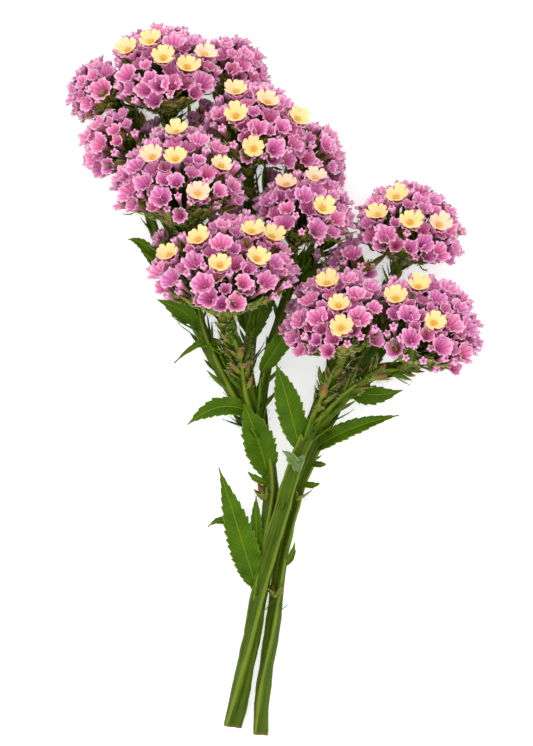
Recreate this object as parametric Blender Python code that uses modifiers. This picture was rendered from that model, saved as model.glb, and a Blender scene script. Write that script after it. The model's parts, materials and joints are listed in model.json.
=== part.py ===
"""Two cut stems of winged statice with their flower heads, lying on a table.

Metres, +Z up from the table, +Y from the cut ends towards the flowers, origin at the middle of
the bunch on the table. Sizes below are millimetres unless a name says otherwise.
"""

import math
import random
from collections import namedtuple

import bmesh
import bpy
from mathutils import Matrix, Vector

MM = 0.001
TABLE_CUT = 1.0  # no floret reaches further below the table, which presses it flat
CLEARANCE = 0.4  # between pieces that touch
WELD = 0.000002  # in metres, the distance within which a Boolean's corners are one
GOLDEN_ANGLE = math.radians(137.508)

# A calyx is a papery funnel with a rim of ten pleats
PLEATS = 10
RIM_RADIUS = 4.3
RIM_WAVE = 0.5  # how far each pleat stands in or out, up or down
MOUTH_DEPTH = 4.8
FLARE_DEPTH = 6.4  # below the rim, where the tube opens
FOOT_SIDES = 3
FOOT_RADIUS = 1.0
ROOT_SHARE = 0.7  # where the funnel's foot ends in the head's core, as a share of the core's radius

# An open corolla is a cup of five petals that stands in its calyx on a narrow throat
PETAL_RADIUS = 5.1
PETAL_NOTCH = 3.6
PETAL_LIFT = 1.6
THROAT_RADIUS = 1.8
THROAT_DEPTH = 0.9

# A bud is a closed calyx, which fills what the open ones leave where heads crowd each other
BUD_SIDES = 5
BUD_RADIUS = 2.0
BUD_TIP = 1.8

# The florets of a head keep this far apart and stand this far out of its core
FLORET_SPACING = 10.3
BUD_SPACING = 8.4
FLORET_HEIGHT = 9.5
FLORET_CANDIDATES = 420
SMALLEST_CORE = 0.42  # as a share of the head's radius
DOME_UNEVENNESS = (-0.05, 0.03)  # how far in or out a floret may stand, as a share of the radius
UPRIGHT = 0.7
WANDER = 0.08  # and how much it turns aside at random
OPEN_LIFT = 1.2  # an open flower stands a little proud

# Under each head the branch opens at a neck into two collars of pointed bracts
NECK_SHARE = 0.62
FOOT_SHARE = 0.30  # the core's flattened underside, as a share of its radius
COLLARS = (1.0, 0.55)  # how far up from the neck each one stands
COLLAR_SPREAD = (0.4, 0.6)  # its width at the neck, and what it gains up to the florets
BRACT_LENGTHS = (0.85, 1.0)
COLLAR_POINTS = 6
COLLAR_DROP = 6.6  # of the upper collar's points below the head's middle, clear of the florets
COLLAR_REACH = 0.88
COLLAR_SHORTEST = 0.25
COLLAR_VALLEY = 0.58  # radius between the points, as a share of the points' own
COLLAR_THICKNESS = 1.6

# Below the neck, two smaller whorls of bracts sheathe the branch
SHEATHS = ((5.0, 0.42), (13.0, 0.30))  # how far down, and their reach as a share of the radius
SHEATH_LENGTH = 7.0
SHEATH_POINTS = 5
SHEATHED = ("front_left_head", "front_right_head")  # the heads whose branches lie in the open

WING_COUNT = 3
WING_VALLEY = 0.46  # radius between the wings, as a share of the radius at a wing's edge
WING_EDGE_TURN = math.radians(9)
THICK_STEM = 4.1  # from this girth a stem is winged, and a finer branch is three-edged
STEM_STEP = 24.0  # between the rings of a stem
BRANCH_STEP = 30.0
STEM_TWIST = math.radians(70)  # along each 100 mm

LEAF_THICKNESS = 0.8
LEAF_SECTIONS = 1.0  # along the blade, for each millimetre of its half width
LEAF_TOOTH = 0.09
LEAF_FOLD = 0.22  # how far the edges rise over the midrib, as a share of the half width
LEAF_STALK = 0.16  # the blade's width at its base, as a share of its widest
LEAF_NARROWEST = 0.5

Head = namedtuple("Head", "name place radius lean rise spread open_flowers")
Branch = namedtuple("Branch", "stem head girth route")
Leaf = namedtuple("Leaf", "stem base bend tip half_width facing")
Floret = namedtuple("Floret", "middle facing kind")

# place is the middle of the head's ball. lean turns its axis from +Y towards +X, rise towards +Z,
# and florets cover it out to spread degrees. open_flowers are places of yellow corollas across
# and along from that middle, as seen from above.
HEADS = (
    Head("crown_head", (-51.9, 142.0, 21.5), 28, -8, 20, 84,
         ((-16, 13), (-6, 17), (0, 9), (11, 5), (18, 11))),
    Head("far_left_head", (-82.3, 138.0, 20), 16, -50, 15, 85, ()),
    Head("top_back_head", (-21.0, 148.8, 11.0), 17, 24, 15, 88, ()),
    Head("left_head", (-70.5, 112.8, 20), 21.5, -35, 20, 88, ((4, 9),)),
    Head("centre_left_head", (-43.6, 89.5, 36), 32, -5, 18, 84,
         ((-2, 26), (-2, 13), (8, -3), (19, 10), (-12, 13))),
    Head("upper_head", (-10.5, 116.2, 27), 26, 8, 24, 88,
         ((-7, 19), (-7, 7), (7, 13), (21, 7), (1, -8))),
    Head("upper_side_head", (15.3, 105.7, 11.5), 19.5, 45, 20, 85, ()),
    Head("middle_head", (13.3, 77.5, 27), 23.5, 14, 20, 86, ((-7, 14), (9, 3), (6, 18))),
    Head("front_left_head", (-22.9, 48.0, 42), 34, 0, 18, 82,
         ((-12, 17), (-2, 5), (12, 20), (15, 8), (22, 19), (-25, 10))),
    Head("right_back_head", (64.2, 69.4, 15.0), 26, 16, 20, 86,
         ((-6, 17), (-15, 9), (0, 5), (13, 4), (15, 11))),
    Head("bud_head", (38.6, 56.0, 17), 13.5, 0, 15, 85, ()),
    Head("front_right_head", (31.0, 25.5, 34), 27, -8, 22, 84,
         ((-1, 9), (0, -1), (-6, 19), (17, -7))),
    Head("far_right_head", (68.4, 21.8, 30), 28.5, 20, 22, 88, ((-11, 16), (6, 5), (-1, 21))),
)

# girth is the radius over the wings where the branch starts and where it ends. A branch with a
# head goes on from its route to the head's neck and foot.
BRANCHES = (
    Branch("front_stem", None, (5.3, 3.8),
           ((-20.9, -168.2, 4.3), (-15.8, -147.0, 5.2), (-10.6, -124.5, 6.4), (-7.2, -106.8, 8.0),
            (-2.0, -86.0, 11), (3.6, -64.5, 14.5), (8.5, -45.5, 17.7), (13.8, -30.9, 20),
            (19.0, -19.0, 22))),
    Branch("front_stem", None, (3.9, 4.4),
           ((-8.9, -110.0, 6.4), (-5.2, -86.0, 7.2), (-2.5, -66.6, 8.7), (-1.4, -50.9, 10.6),
            (-3.8, -35.7, 13.5), (-8.6, -21.4, 17))),
    Branch("front_stem", "front_right_head", (4.3, 3.4),
           ((13.0, -33.0, 19.5), (22.8, -9.5, 23), (28.6, 5.0, 26))),
    Branch("front_stem", "far_right_head", (4.0, 3.2),
           ((15.0, -28.0, 20.5), (33.8, -7.1, 22), (50.0, 4.0, 23))),
    Branch("front_stem", "front_left_head", (4.6, 3.8),
           ((-4.5, -34.0, 14), (-12.9, -7.1, 21), (-16.7, 11.9, 26))),
    Branch("front_stem", "centre_left_head", (4.2, 3.1),
           ((-5.7, -30.0, 14.5), (-16.2, -11.9, 17), (-27.6, 8.6, 19), (-35.2, 26.2, 20),
            (-39.0, 45.2, 17), (-41.5, 60.0, 22))),
    Branch("front_stem", "left_head", (3.2, 2.4),
           ((-29.0, 11.0, 18.5), (-44.7, 38.1, 15), (-54.3, 61.9, 13), (-60.5, 83.3, 12))),
    Branch("front_stem", "crown_head", (3.0, 2.5),
           ((-44.7, 38.1, 14.5), (-48.6, 71.4, 8.5), (-50.5, 95.2, 6), (-51.5, 114.2, 8))),
    Branch("front_stem", "far_left_head", (1.8, 1.4),
           ((-49.5, 88.0, 7), (-56.5, 112.0, 4.5), (-66.5, 126.5, 11))),
    Branch("front_stem", "upper_head", (3.4, 2.7),
           ((-7.0, -26.0, 15.5), (-12.5, 0.0, 15), (-11.0, 24.0, 12.5), (-10.5, 52.4, 10.5),
            (-10.5, 80.9, 10))),
    Branch("front_stem", "top_back_head", (1.8, 1.5),
           ((-10.5, 70.0, 10.5), (-19.0, 98.0, 6.5), (-24.5, 120.0, 8))),
    Branch("front_stem", "upper_side_head", (1.8, 1.5),
           ((-10.8, 60.0, 10.5), (-1.0, 80.0, 8))),
    Branch("front_stem", "middle_head", (3.3, 2.6),
           ((-7.6, -18.0, 17), (-2.9, 9.5, 16), (4.3, 33.3, 14), (9.0, 52.0, 14))),
    Branch("back_stem", None, (4.2, 3.7),
           ((-7.4, -172.5, 3.2), (-5.3, -148.5, 3.6), (-0.9, -123.8, 4.0), (1.6, -104.7, 4.1),
            (4.2, -85.7, 4.4), (8.0, -66.6, 5.4), (12.2, -51.4, 6.8), (16.8, -39.0, 8.2),
            (23.3, -23.8, 9.6))),
    Branch("back_stem", "right_back_head", (3.4, 2.6),
           ((21.0, -30.0, 9), (33.8, -4.8, 10.5), (44.7, 16.7, 10), (54.3, 38.1, 9))),
    Branch("back_stem", "bud_head", (2.0, 1.5),
           ((22.5, -26.0, 9.4), (30.5, -2.4, 11.5), (35.2, 21.4, 11))),
)

# A blade leaves its base, passes through bend and ends in its tip. Its upper face looks along facing.
UP = (0, 0, 1)
LEAVES = (
    Leaf("front_stem", (-9, -100, 7), (-16, -76, 13), (-26.5, -42.5, 16), 7.2, UP),
    Leaf("front_stem", (-9.6, -103, 6.4), (-19, -72, 8), (-32, -71.5, 4), 3.6, (-0.6, -0.6, 0.7)),
    Leaf("front_stem", (-7, -92, 8), (-8.5, -72, 11), (-8.5, -56, 12), 3.0, UP),
    Leaf("front_stem", (-3, -46, 12), (-8, -28, 22), (-14.5, -11.5, 27), 7.8, (0.2, -0.2, 1)),
    Leaf("front_stem", (-11, -16, 19), (-26, -13, 23), (-41.5, -21.5, 19), 4.6, (0, 0.3, 1)),
    Leaf("front_stem", (-19, -4, 18), (-29, 17, 22), (-48, 8, 17), 3.4, (0.2, 0.7, 0.7)),
    Leaf("front_stem", (-38, 27, 19), (-44, 33, 21), (-56, 38.5, 18), 4.8, (-0.3, -0.3, 1)),
    Leaf("front_stem", (-6, 4, 20), (3, 18, 24), (14, 34, 22), 4.8, (0.3, -0.3, 1)),
    Leaf("front_stem", (12.2, -33, 20.5), (7, -12, 27), (1, 7.5, 29), 6.6, UP),
    Leaf("back_stem", (19.6, -34, 8.8), (36, -24, 17), (60, -17, 18), 4.4, (-0.2, 0.4, 1)),
    Leaf("back_stem", (36, -2, 10), (46, -7, 15), (62, -5, 14), 5.2, (0.1, -0.2, 1)),
    Leaf("front_stem", (-47, 42, 14.5), (-60, 62, 13), (-70.5, 68, 9), 3.0, (-0.3, 0.5, 0.9)),
    Leaf("front_stem", (-46, 40, 14.5), (-56, 54, 16), (-64, 62, 14), 2.2, (-0.3, 0.5, 0.9)),
    Leaf("back_stem", (4.4, -90, 5), (8, -86, 8), (10, -79, 10.5), 1.8, (0.3, 0, 1)),
    Leaf("back_stem", (13, -50, 7.4), (18, -51, 11), (22, -50, 12), 1.7, (0, 0.4, 1)),
    Leaf("front_stem", (-2.2, -50, 11.6), (-8, -48, 14), (-12.5, -44.5, 13), 1.7, (0, 0.4, 1)),
    Leaf("back_stem", (17, -40, 8.4), (22, -41, 12), (25, -40.5, 13), 1.6, (0, 0.4, 1)),
    Leaf("front_stem", (-11.5, 22, 12), (-18, 46, 5), (-22, 74, 3), 4.6, (-0.2, -0.2, 1)),
    Leaf("front_stem", (-12, 18, 15), (-4, 42, 18), (2, 64, 13), 5.2, (0.3, -0.2, 1)),
    Leaf("front_stem", (-50.5, 94, 6), (-44, 108, 3.5), (-35, 122, 5), 4.0, (0.1, -0.1, 1)),
    Leaf("front_stem", (-50, 84, 8), (-58, 100, 7), (-67, 118, 5), 3.6, (-0.2, -0.1, 1)),
    Leaf("front_stem", (-33, 20, 20), (-44, 48, 19), (-52, 72, 15), 5.0, (-0.3, -0.2, 1)),
    Leaf("back_stem", (34, -6, 11), (49, 12, 8), (58, 36, 6), 4.2, (0.2, -0.2, 1)),
)


def clear_scene():
    for obj in list(bpy.data.objects):
        bpy.data.objects.remove(obj)


def new_collection(name):
    collection = bpy.data.collections.new(name)
    bpy.context.scene.collection.children.link(collection)
    return collection


def material(name, colour, roughness):
    made = bpy.data.materials.new(name)
    made.use_nodes = True
    shader = made.node_tree.nodes["Principled BSDF"]
    shader.inputs["Base Color"].default_value = (*colour, 1)
    shader.inputs["Roughness"].default_value = roughness
    return made


def object_from(bm, name, collection):
    """The bmesh as a new object, with its faces turned outwards."""
    bmesh.ops.recalc_face_normals(bm, faces=bm.faces)
    if bm.calc_volume(signed=True) < 0:
        bmesh.ops.reverse_faces(bm, faces=bm.faces)
    mesh = bpy.data.meshes.new(name)
    bm.to_mesh(mesh)
    bm.free()
    obj = bpy.data.objects.new(name, mesh)
    collection.objects.link(obj)
    return obj


# Directions and places of a head


def head_axis(head):
    lean, rise = math.radians(head.lean), math.radians(head.rise)
    return Vector((math.sin(lean) * math.cos(rise), math.cos(lean) * math.cos(rise), math.sin(rise)))


def core_radius(head):
    return max(head.radius - FLORET_HEIGHT, SMALLEST_CORE * head.radius)


def neck_and_foot(head):
    """Where the branch opens into bracts, and where it ends under the head's core."""
    middle, axis = Vector(head.place), head_axis(head)
    foot = FOOT_SHARE * core_radius(head) + CLEARANCE
    return middle - axis * NECK_SHARE * head.radius, middle - axis * foot


def full_route(branch):
    points = [Vector(p) for p in branch.route]
    if branch.head:
        points.extend(neck_and_foot(next(h for h in HEADS if h.name == branch.head)))
    return points


def smooth_route(points, step):
    """Points along a Catmull-Rom curve through the route, about step apart."""
    ends = [2 * points[0] - points[1], *points, 2 * points[-1] - points[-2]]
    found = []
    for a, b, c, d in zip(ends, ends[1:], ends[2:], ends[3:]):
        pieces = max(1, round((c - b).length / step))
        for n in range(pieces):
            t = n / pieces
            found.append(0.5 * (2 * b + (c - a) * t + (2 * a - 5 * b + 4 * c - d) * t**2
                                + (3 * b - a - 3 * c + d) * t**3))
    return [*found, points[-1]]


def distance_to_route(point, route):
    """Least distance from the point to the route's straight runs."""
    least = math.inf
    for a, b in zip(route, route[1:]):
        run = b - a
        share = min(1, max(0, (point - a).dot(run) / run.length_squared))
        least = min(least, (point - a - run * share).length)
    return least


# Where the florets of a head stand


def cap_directions(head, count):
    """Evenly spread bearings within the head's spread, on a golden-angle spiral from its axis."""
    depth = 1 - math.cos(math.radians(head.spread))
    turn = head_axis(head).to_track_quat("Z", "Y")
    for n in range(count):
        height = 1 - depth * (n + 0.5) / count
        flat = math.sqrt(1 - height * height)
        around = n * GOLDEN_ANGLE
        yield turn @ Vector((flat * math.cos(around), flat * math.sin(around), height))


def side_of_neighbours(head, middle, facing, reach):
    """Whether a disc of radius reach keeps to this head's side of every neighbouring head."""
    for other in HEADS:
        if other is head:
            continue
        gap = Vector(other.place) - Vector(head.place)
        if gap.length > head.radius + other.radius + 2 * reach:
            continue
        along = gap.normalized()
        plane = (gap.length_squared + head.radius**2 - other.radius**2) / (2 * gap.length)
        out = (middle - Vector(head.place)).dot(along)
        if out + reach * math.sqrt(max(0, 1 - facing.dot(along) ** 2)) + CLEARANCE > plane:
            return False
    return True


def has_room(head, middle, facing, reach):
    """Whether a disc of radius reach here clears the neighbouring heads, the branches and the table."""
    lowest = middle.z - reach * math.sqrt(max(0, 1 - facing.z**2))
    if lowest < -TABLE_CUT or not side_of_neighbours(head, middle, facing, reach):
        return False
    for branch in BRANCHES:
        own = branch.head == head.name
        route = [Vector(p) for p in branch.route] if own else full_route(branch)
        for point, width in ((middle, reach), (middle - facing * MOUTH_DEPTH, reach / 2)):
            if distance_to_route(point, route) < width + branch.girth[0] + CLEARANCE:
                return False
    return True


def crowding(place, found):
    """How far the place is from its nearest neighbours, which is least where it fills a gap."""
    gaps = sorted((place.middle - f.middle).length for f in found)
    return sum(gaps[:2])


def florets_of(head):
    """The head's florets: its open flowers, then the other calyxes, then buds where those don't fit."""
    rng = random.Random(HEADS.index(head))
    axis, centre = head_axis(head), Vector(head.place)
    bearings = []
    for across, along in head.open_flowers:
        up = math.sqrt(max(0, head.radius**2 - across**2 - along**2))
        bearings.append((Vector((across, along, up)).normalized(), "open"))
    bearings.extend((bearing, "calyx") for bearing in cap_directions(head, FLORET_CANDIDATES))
    places = []
    for bearing, kind in bearings:
        out = head.radius * (1 + rng.uniform(*DOME_UNEVENNESS)) + OPEN_LIFT * (kind == "open")
        wander = Vector([rng.uniform(-WANDER, WANDER) for _ in range(3)])
        facing = (bearing + UPRIGHT * axis + wander).normalized()
        middle = centre + bearing * out
        if has_room(head, middle, facing, RIM_RADIUS):
            places.append(Floret(middle, facing, kind))
        elif has_room(head, middle, facing, BUD_RADIUS):
            places.append(Floret(middle, facing, "bud"))
    order = ("open", "calyx", "bud")
    found = []
    while places:
        # The next is the one that sits closest to those already there
        nearest = min(places, key=lambda p: (order.index(p.kind), crowding(p, found)))
        found.append(nearest)
        places = [p for p in places if (p.middle - nearest.middle).length
                  > (BUD_SPACING if "bud" in (p.kind, nearest.kind) else FLORET_SPACING)]
    return found


# Petals, calyxes and cores


def ring(bm, count, radii, heights, middle=(0, 0)):
    """A closed ring of vertices round a middle. radii and heights repeat round it."""
    made = []
    for n in range(count):
        turn = math.tau * n / count
        radius = radii[n % len(radii)]
        across, along = middle[0] + radius * math.cos(turn), middle[1] + radius * math.sin(turn)
        made.append(bm.verts.new((across, along, heights[n % len(heights)])))
    return made


def skirt(bm, low, high):
    """The faces between two closed rings that start at the same bearing, whose counts may differ."""
    if len(low) == len(high):
        for n, corner in enumerate(low):
            after = (n + 1) % len(low)
            bm.faces.new((corner, low[after], high[after], high[n]))
        return
    i = j = 0
    while i < len(low) or j < len(high):
        a, b = low[i % len(low)], high[j % len(high)]
        if i == len(low) or (j < len(high) and (j + 0.5) * len(low) <= (i + 0.5) * len(high)):
            bm.faces.new((a, high[(j + 1) % len(high)], b))
            j += 1
        else:
            bm.faces.new((a, low[(i + 1) % len(low)], b))
            i += 1


def turned(name, rings, apex, collection):
    """A closed shape through rings of unlike counts, from a flat foot up to a point at height apex."""
    bm = bmesh.new()
    loops = [ring(bm, *sizes) for sizes in rings]
    bm.faces.new(loops[0])
    for low, high in zip(loops, loops[1:]):
        skirt(bm, low, high)
    point = bm.verts.new((0, 0, apex))
    for n, corner in enumerate(loops[-1]):
        bm.faces.new((corner, loops[-1][(n + 1) % len(loops[-1])], point))
    return object_from(bm, name, collection)


def tube_rings(root):
    """The thin tube of every floret, from its root, a point in the core, up to where it flares."""
    return [(FOOT_SIDES, (FOOT_RADIUS,), (root.z,), root.xy), (FOOT_SIDES, (FOOT_RADIUS,), (-FLARE_DEPTH,))]


def calyx_rings(root):
    rim = (PLEATS, (RIM_RADIUS, RIM_RADIUS - RIM_WAVE), (RIM_WAVE, -RIM_WAVE))
    return [*tube_rings(root), rim]


def calyx(name, root, collection):
    """A pleated funnel. The middle of its rim is the origin, and its mouth is hollow to a point."""
    return turned(name, calyx_rings(root), -MOUTH_DEPTH, collection)


def open_flower(name, root, collection):
    """A calyx whose mouth holds the throat and the spread petals of an open corolla."""
    throat = (FOOT_SIDES, (THROAT_RADIUS,), (-THROAT_DEPTH,))
    petals = (PLEATS, (PETAL_RADIUS, PETAL_NOTCH), (PETAL_LIFT,))
    return turned(name, [*calyx_rings(root), throat, petals], 0, collection)


def bud(name, root, collection):
    """A calyx still closed, with its five lobes together in a blunt point."""
    lobes = (BUD_SIDES, (BUD_RADIUS,), (0,))
    return turned(name, [*tube_rings(root), lobes], BUD_TIP, collection)


def head_core(head, collection):
    """The ball that the florets stand in, flattened underneath where the bracts carry it."""
    radius = core_radius(head)
    bm = bmesh.new()
    bmesh.ops.create_uvsphere(bm, u_segments=8, v_segments=6, radius=radius)
    for v in bm.verts:
        v.co.z *= FOOT_SHARE if v.co.z < 0 else 1
    turn = head_axis(head).to_track_quat("Z", "Y").to_matrix().to_4x4()
    bm.transform(Matrix.Scale(MM, 4) @ Matrix.Translation(head.place) @ turn)
    return object_from(bm, head.name, collection)


def plant_florets(head, collection):
    """The calyxes, buds and open flowers of one head, each standing in its core."""
    shapes = {"open": open_flower, "calyx": calyx, "bud": bud}
    rng = random.Random(100 + HEADS.index(head))
    inside = ROOT_SHARE * core_radius(head)
    for n, floret in enumerate(florets_of(head)):
        turn = Matrix.Rotation(rng.uniform(0, math.tau), 3, "Z")
        rotation = floret.facing.to_track_quat("Z", "Y").to_matrix() @ turn
        out = floret.middle - Vector(head.place)
        root = rotation.inverted() @ (out.normalized() * inside - out)
        made = shapes[floret.kind](f"{head.name}_{floret.kind}_{n}", root, collection)
        placed = Matrix.Translation(floret.middle) @ rotation.to_4x4()
        made.data.transform(Matrix.Scale(MM, 4) @ placed)


# Stems, bracts and leaves


def wing_section(name, edges, valley, collection):
    """A section of radius 1 with three wings. edges are the bearings of a wing's own corners."""
    curve = bpy.data.curves.new(name, "CURVE")
    spline = curve.splines.new("POLY")
    points = []
    for n in range(WING_COUNT):
        middle = math.tau * n / WING_COUNT
        points.extend((1.0, middle + edge) for edge in edges)
        points.extend((radius, middle + math.pi / WING_COUNT) for radius in valley)
    spline.points.add(len(points) - 1)
    for point, (radius, turn) in zip(spline.points, points):
        point.co = (radius * math.cos(turn) * MM, radius * math.sin(turn) * MM, 0, 1)
    spline.use_cyclic_u = True
    obj = bpy.data.objects.new(name, curve)
    collection.objects.link(obj)
    return obj


def as_mesh(obj, collection):
    """A curve object made a closed mesh object of the same name, and the curve removed."""
    graph = bpy.context.evaluated_depsgraph_get()
    mesh = bpy.data.meshes.new_from_object(obj.evaluated_get(graph))
    bm = bmesh.new()
    bm.from_mesh(mesh)
    bmesh.ops.remove_doubles(bm, verts=bm.verts, dist=WELD)
    bmesh.ops.triangulate(bm, faces=bm.faces)
    name = obj.name
    bpy.data.objects.remove(obj)
    return object_from(bm, name, collection)


def winged_tube(name, route, girth, section, step, collection):
    """A winged branch along the route with a ring every step, its wings turning slowly round it."""
    points = smooth_route(route, step)
    curve = bpy.data.curves.new(name, "CURVE")
    curve.dimensions = "3D"
    curve.bevel_mode = "OBJECT"
    curve.bevel_object = section
    curve.use_fill_caps = True
    spline = curve.splines.new("POLY")
    spline.points.add(len(points) - 1)
    for n, (target, place) in enumerate(zip(spline.points, points)):
        share = n / (len(points) - 1)
        target.co = (*(place * MM), 1)
        target.radius = girth[0] + (girth[1] - girth[0]) * share
        target.tilt = STEM_TWIST * n * step / 100
    obj = bpy.data.objects.new(name, curve)
    collection.objects.link(obj)
    return as_mesh(obj, collection)


def in_flowers(point, margin):
    """Whether the point is among a head's florets or in its core."""
    for head in HEADS:
        out = point - Vector(head.place)
        height = out.dot(head_axis(head))
        across = math.sqrt(max(0, out.length_squared - height**2))
        core_depth = FOOT_SHARE * math.sqrt(max(0, core_radius(head) ** 2 - across**2))
        underside = max(RIM_RADIUS, core_depth)
        if out.length < head.radius + RIM_RADIUS and height > -underside - margin:
            return True
    return False


def collar(head, share, turn, collection):
    """A star of bracts that leaves the neck like an opening umbrella, bent clear of other flowers."""
    rng = random.Random(200 + HEADS.index(head))
    neck, foot = neck_and_foot(head)
    axis = head_axis(head)
    upright = axis.to_track_quat("Z", "Y")
    rim_middle = neck.lerp(Vector(head.place) - axis * COLLAR_DROP, share)
    bm = bmesh.new()
    bottom = bm.verts.new(neck.lerp(rim_middle, share - COLLARS[-1]) - axis * COLLAR_THICKNESS)
    top = bm.verts.new(neck.lerp(foot, share) - axis * CLEARANCE)
    rim = []
    for n in range(2 * COLLAR_POINTS):
        around = turn + math.pi * n / COLLAR_POINTS
        side = upright @ Vector((math.cos(around), math.sin(around), 0))
        reach = head.radius * COLLAR_REACH * (COLLAR_SPREAD[0] + COLLAR_SPREAD[1] * share)
        reach *= rng.uniform(*BRACT_LENGTHS) * (COLLAR_VALLEY if n % 2 else 1)
        point = rim_middle + side * reach
        while reach > COLLAR_SHORTEST * head.radius and any(
                in_flowers(top.co.lerp(point, part), CLEARANCE) for part in (0.6, 1)):
            reach -= 1
            point = rim_middle + side * reach
        point.z = max(point.z, CLEARANCE)
        rim.append(bm.verts.new(point))
    for n, a in enumerate(rim):
        b = rim[(n + 1) % len(rim)]
        bm.faces.new((a, b, top))
        bm.faces.new((b, a, bottom))
    bm.transform(Matrix.Scale(MM, 4))
    return object_from(bm, f"{head.name}_collar_{share}", collection)


def sheath(head, down, share, collection):
    """A small star of bracts round the branch, down below the head's neck."""
    neck, _ = neck_and_foot(head)
    axis = head_axis(head)
    upright = axis.to_track_quat("Z", "Y")
    middle = neck - axis * down
    bm = bmesh.new()
    bottom, top = bm.verts.new(middle - axis * SHEATH_LENGTH), bm.verts.new(middle - axis)
    rim = []
    for n in range(2 * SHEATH_POINTS):
        around = down + math.pi * n / SHEATH_POINTS
        side = upright @ Vector((math.cos(around), math.sin(around), 0))
        point = middle + side * head.radius * share * (COLLAR_VALLEY if n % 2 else 1)
        point.z = max(point.z, CLEARANCE)
        rim.append(bm.verts.new(point))
    for n, a in enumerate(rim):
        b = rim[(n + 1) % len(rim)]
        bm.faces.new((a, b, top))
        bm.faces.new((b, a, bottom))
    bm.transform(Matrix.Scale(MM, 4))
    return object_from(bm, f"{head.name}_sheath_{down}", collection)


def blade(name, leaf, collection):
    """A toothed lance-shaped leaf along a bent midrib, folded a little along it."""
    base, bend, tip, facing = (Vector(v) for v in (leaf.base, leaf.bend, leaf.tip, leaf.facing))
    control = 2 * bend - (base + tip) / 2
    sections = max(3, round(LEAF_SECTIONS * leaf.half_width))
    bm = bmesh.new()
    bmesh.ops.create_grid(bm, x_segments=2, y_segments=sections, size=1)
    for v in bm.verts:
        across, share = round(v.co.x), (v.co.y + 1) / 2
        section = round(share * sections)
        along = (1 - share) ** 2 * base + 2 * share * (1 - share) * control + share**2 * tip
        ahead = ((1 - share) * (control - base) + share * (tip - control)).normalized()
        side = ahead.cross(facing).normalized()
        over = side.cross(ahead).normalized()
        belly = math.sin(math.pi * share**0.8) ** 0.7
        width = leaf.half_width * (LEAF_STALK + (1 - LEAF_STALK) * belly) * (1 - share**6)
        width *= 1 + LEAF_TOOTH * (1 if section % 2 else -1)
        width = max(LEAF_NARROWEST, width)
        v.co = along + side * across * width + over * abs(across) * width * LEAF_FOLD
    bm.transform(Matrix.Scale(MM, 4))
    obj = object_from(bm, name, collection)
    skin = obj.modifiers.new("blade", "SOLIDIFY")
    skin.thickness = LEAF_THICKNESS * MM
    skin.offset = 0
    obj.modifiers.new("flat_faces", "TRIANGULATE")
    return obj


# Fusing each node


def without_flaps(bm):
    """Removes pairs of triangles that lie back to back, which a Boolean's slivers can leave."""
    flaps = True
    while flaps:
        first, flaps = {}, []
        for face in bm.faces:
            corners = frozenset(face.verts)
            if corners in first:
                flaps.extend((face, first[corners]))
            first[corners] = face
        bmesh.ops.delete(bm, geom=flaps, context="FACES")


def without_scraps(bm):
    """Removes all but the largest connected body: no loose scrap and no sealed hollow is left."""
    left, bodies = set(bm.verts), []
    while left:
        body, edge = [], [left.pop()]
        while edge:
            v = edge.pop()
            body.append(v)
            near = {e.other_vert(v) for e in v.link_edges} & left
            left -= near
            edge.extend(near)
        bodies.append(body)
    bodies.sort(key=len)
    scraps = [v for body in bodies[:-1] for v in body]
    bmesh.ops.delete(bm, geom=scraps, context="VERTS")


def fuse(obj, repeats, table_block, parts, finish):
    """One solid from obj and its repeats, pressed flat at the table, as the node of obj's name."""
    name = obj.name
    joined = obj.modifiers.new("join", "BOOLEAN")
    joined.operation = "UNION"
    joined.solver = "MANIFOLD"
    joined.operand_type = "COLLECTION"
    joined.collection = repeats
    pressed = obj.modifiers.new("table", "BOOLEAN")
    pressed.operation = "DIFFERENCE"
    pressed.solver = "MANIFOLD"
    pressed.object = table_block
    bpy.context.view_layer.update()
    graph = bpy.context.evaluated_depsgraph_get()
    bm = bmesh.new()
    bm.from_object(obj, graph)
    bmesh.ops.triangulate(bm, faces=bm.faces)
    without_flaps(bm)
    bmesh.ops.dissolve_degenerate(bm, edges=bm.edges, dist=WELD)
    bmesh.ops.triangulate(bm, faces=bm.faces)
    without_flaps(bm)
    without_scraps(bm)
    mesh = bpy.data.meshes.new(name)
    bm.to_mesh(mesh)
    bm.free()
    for old in [*repeats.objects, obj]:
        bpy.data.objects.remove(old)
    bpy.data.collections.remove(repeats)
    mesh.materials.append(finish)
    node = bpy.data.objects.new(name, mesh)
    parts.objects.link(node)
    return node


def table_cutter(collection):
    """A block whose top is the table, which presses the lowest florets and wings flat."""
    bm = bmesh.new()
    width, depth = 1.0, 0.1  # in metres
    bmesh.ops.create_cube(bm, size=1)
    bm.transform(Matrix.Translation((0, 0, -depth / 2)) @ Matrix.Diagonal((width, width, depth, 1)))
    block = object_from(bm, "table_block", collection)
    block.hide_render = True
    block.display_type = "WIRE"
    return block


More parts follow.
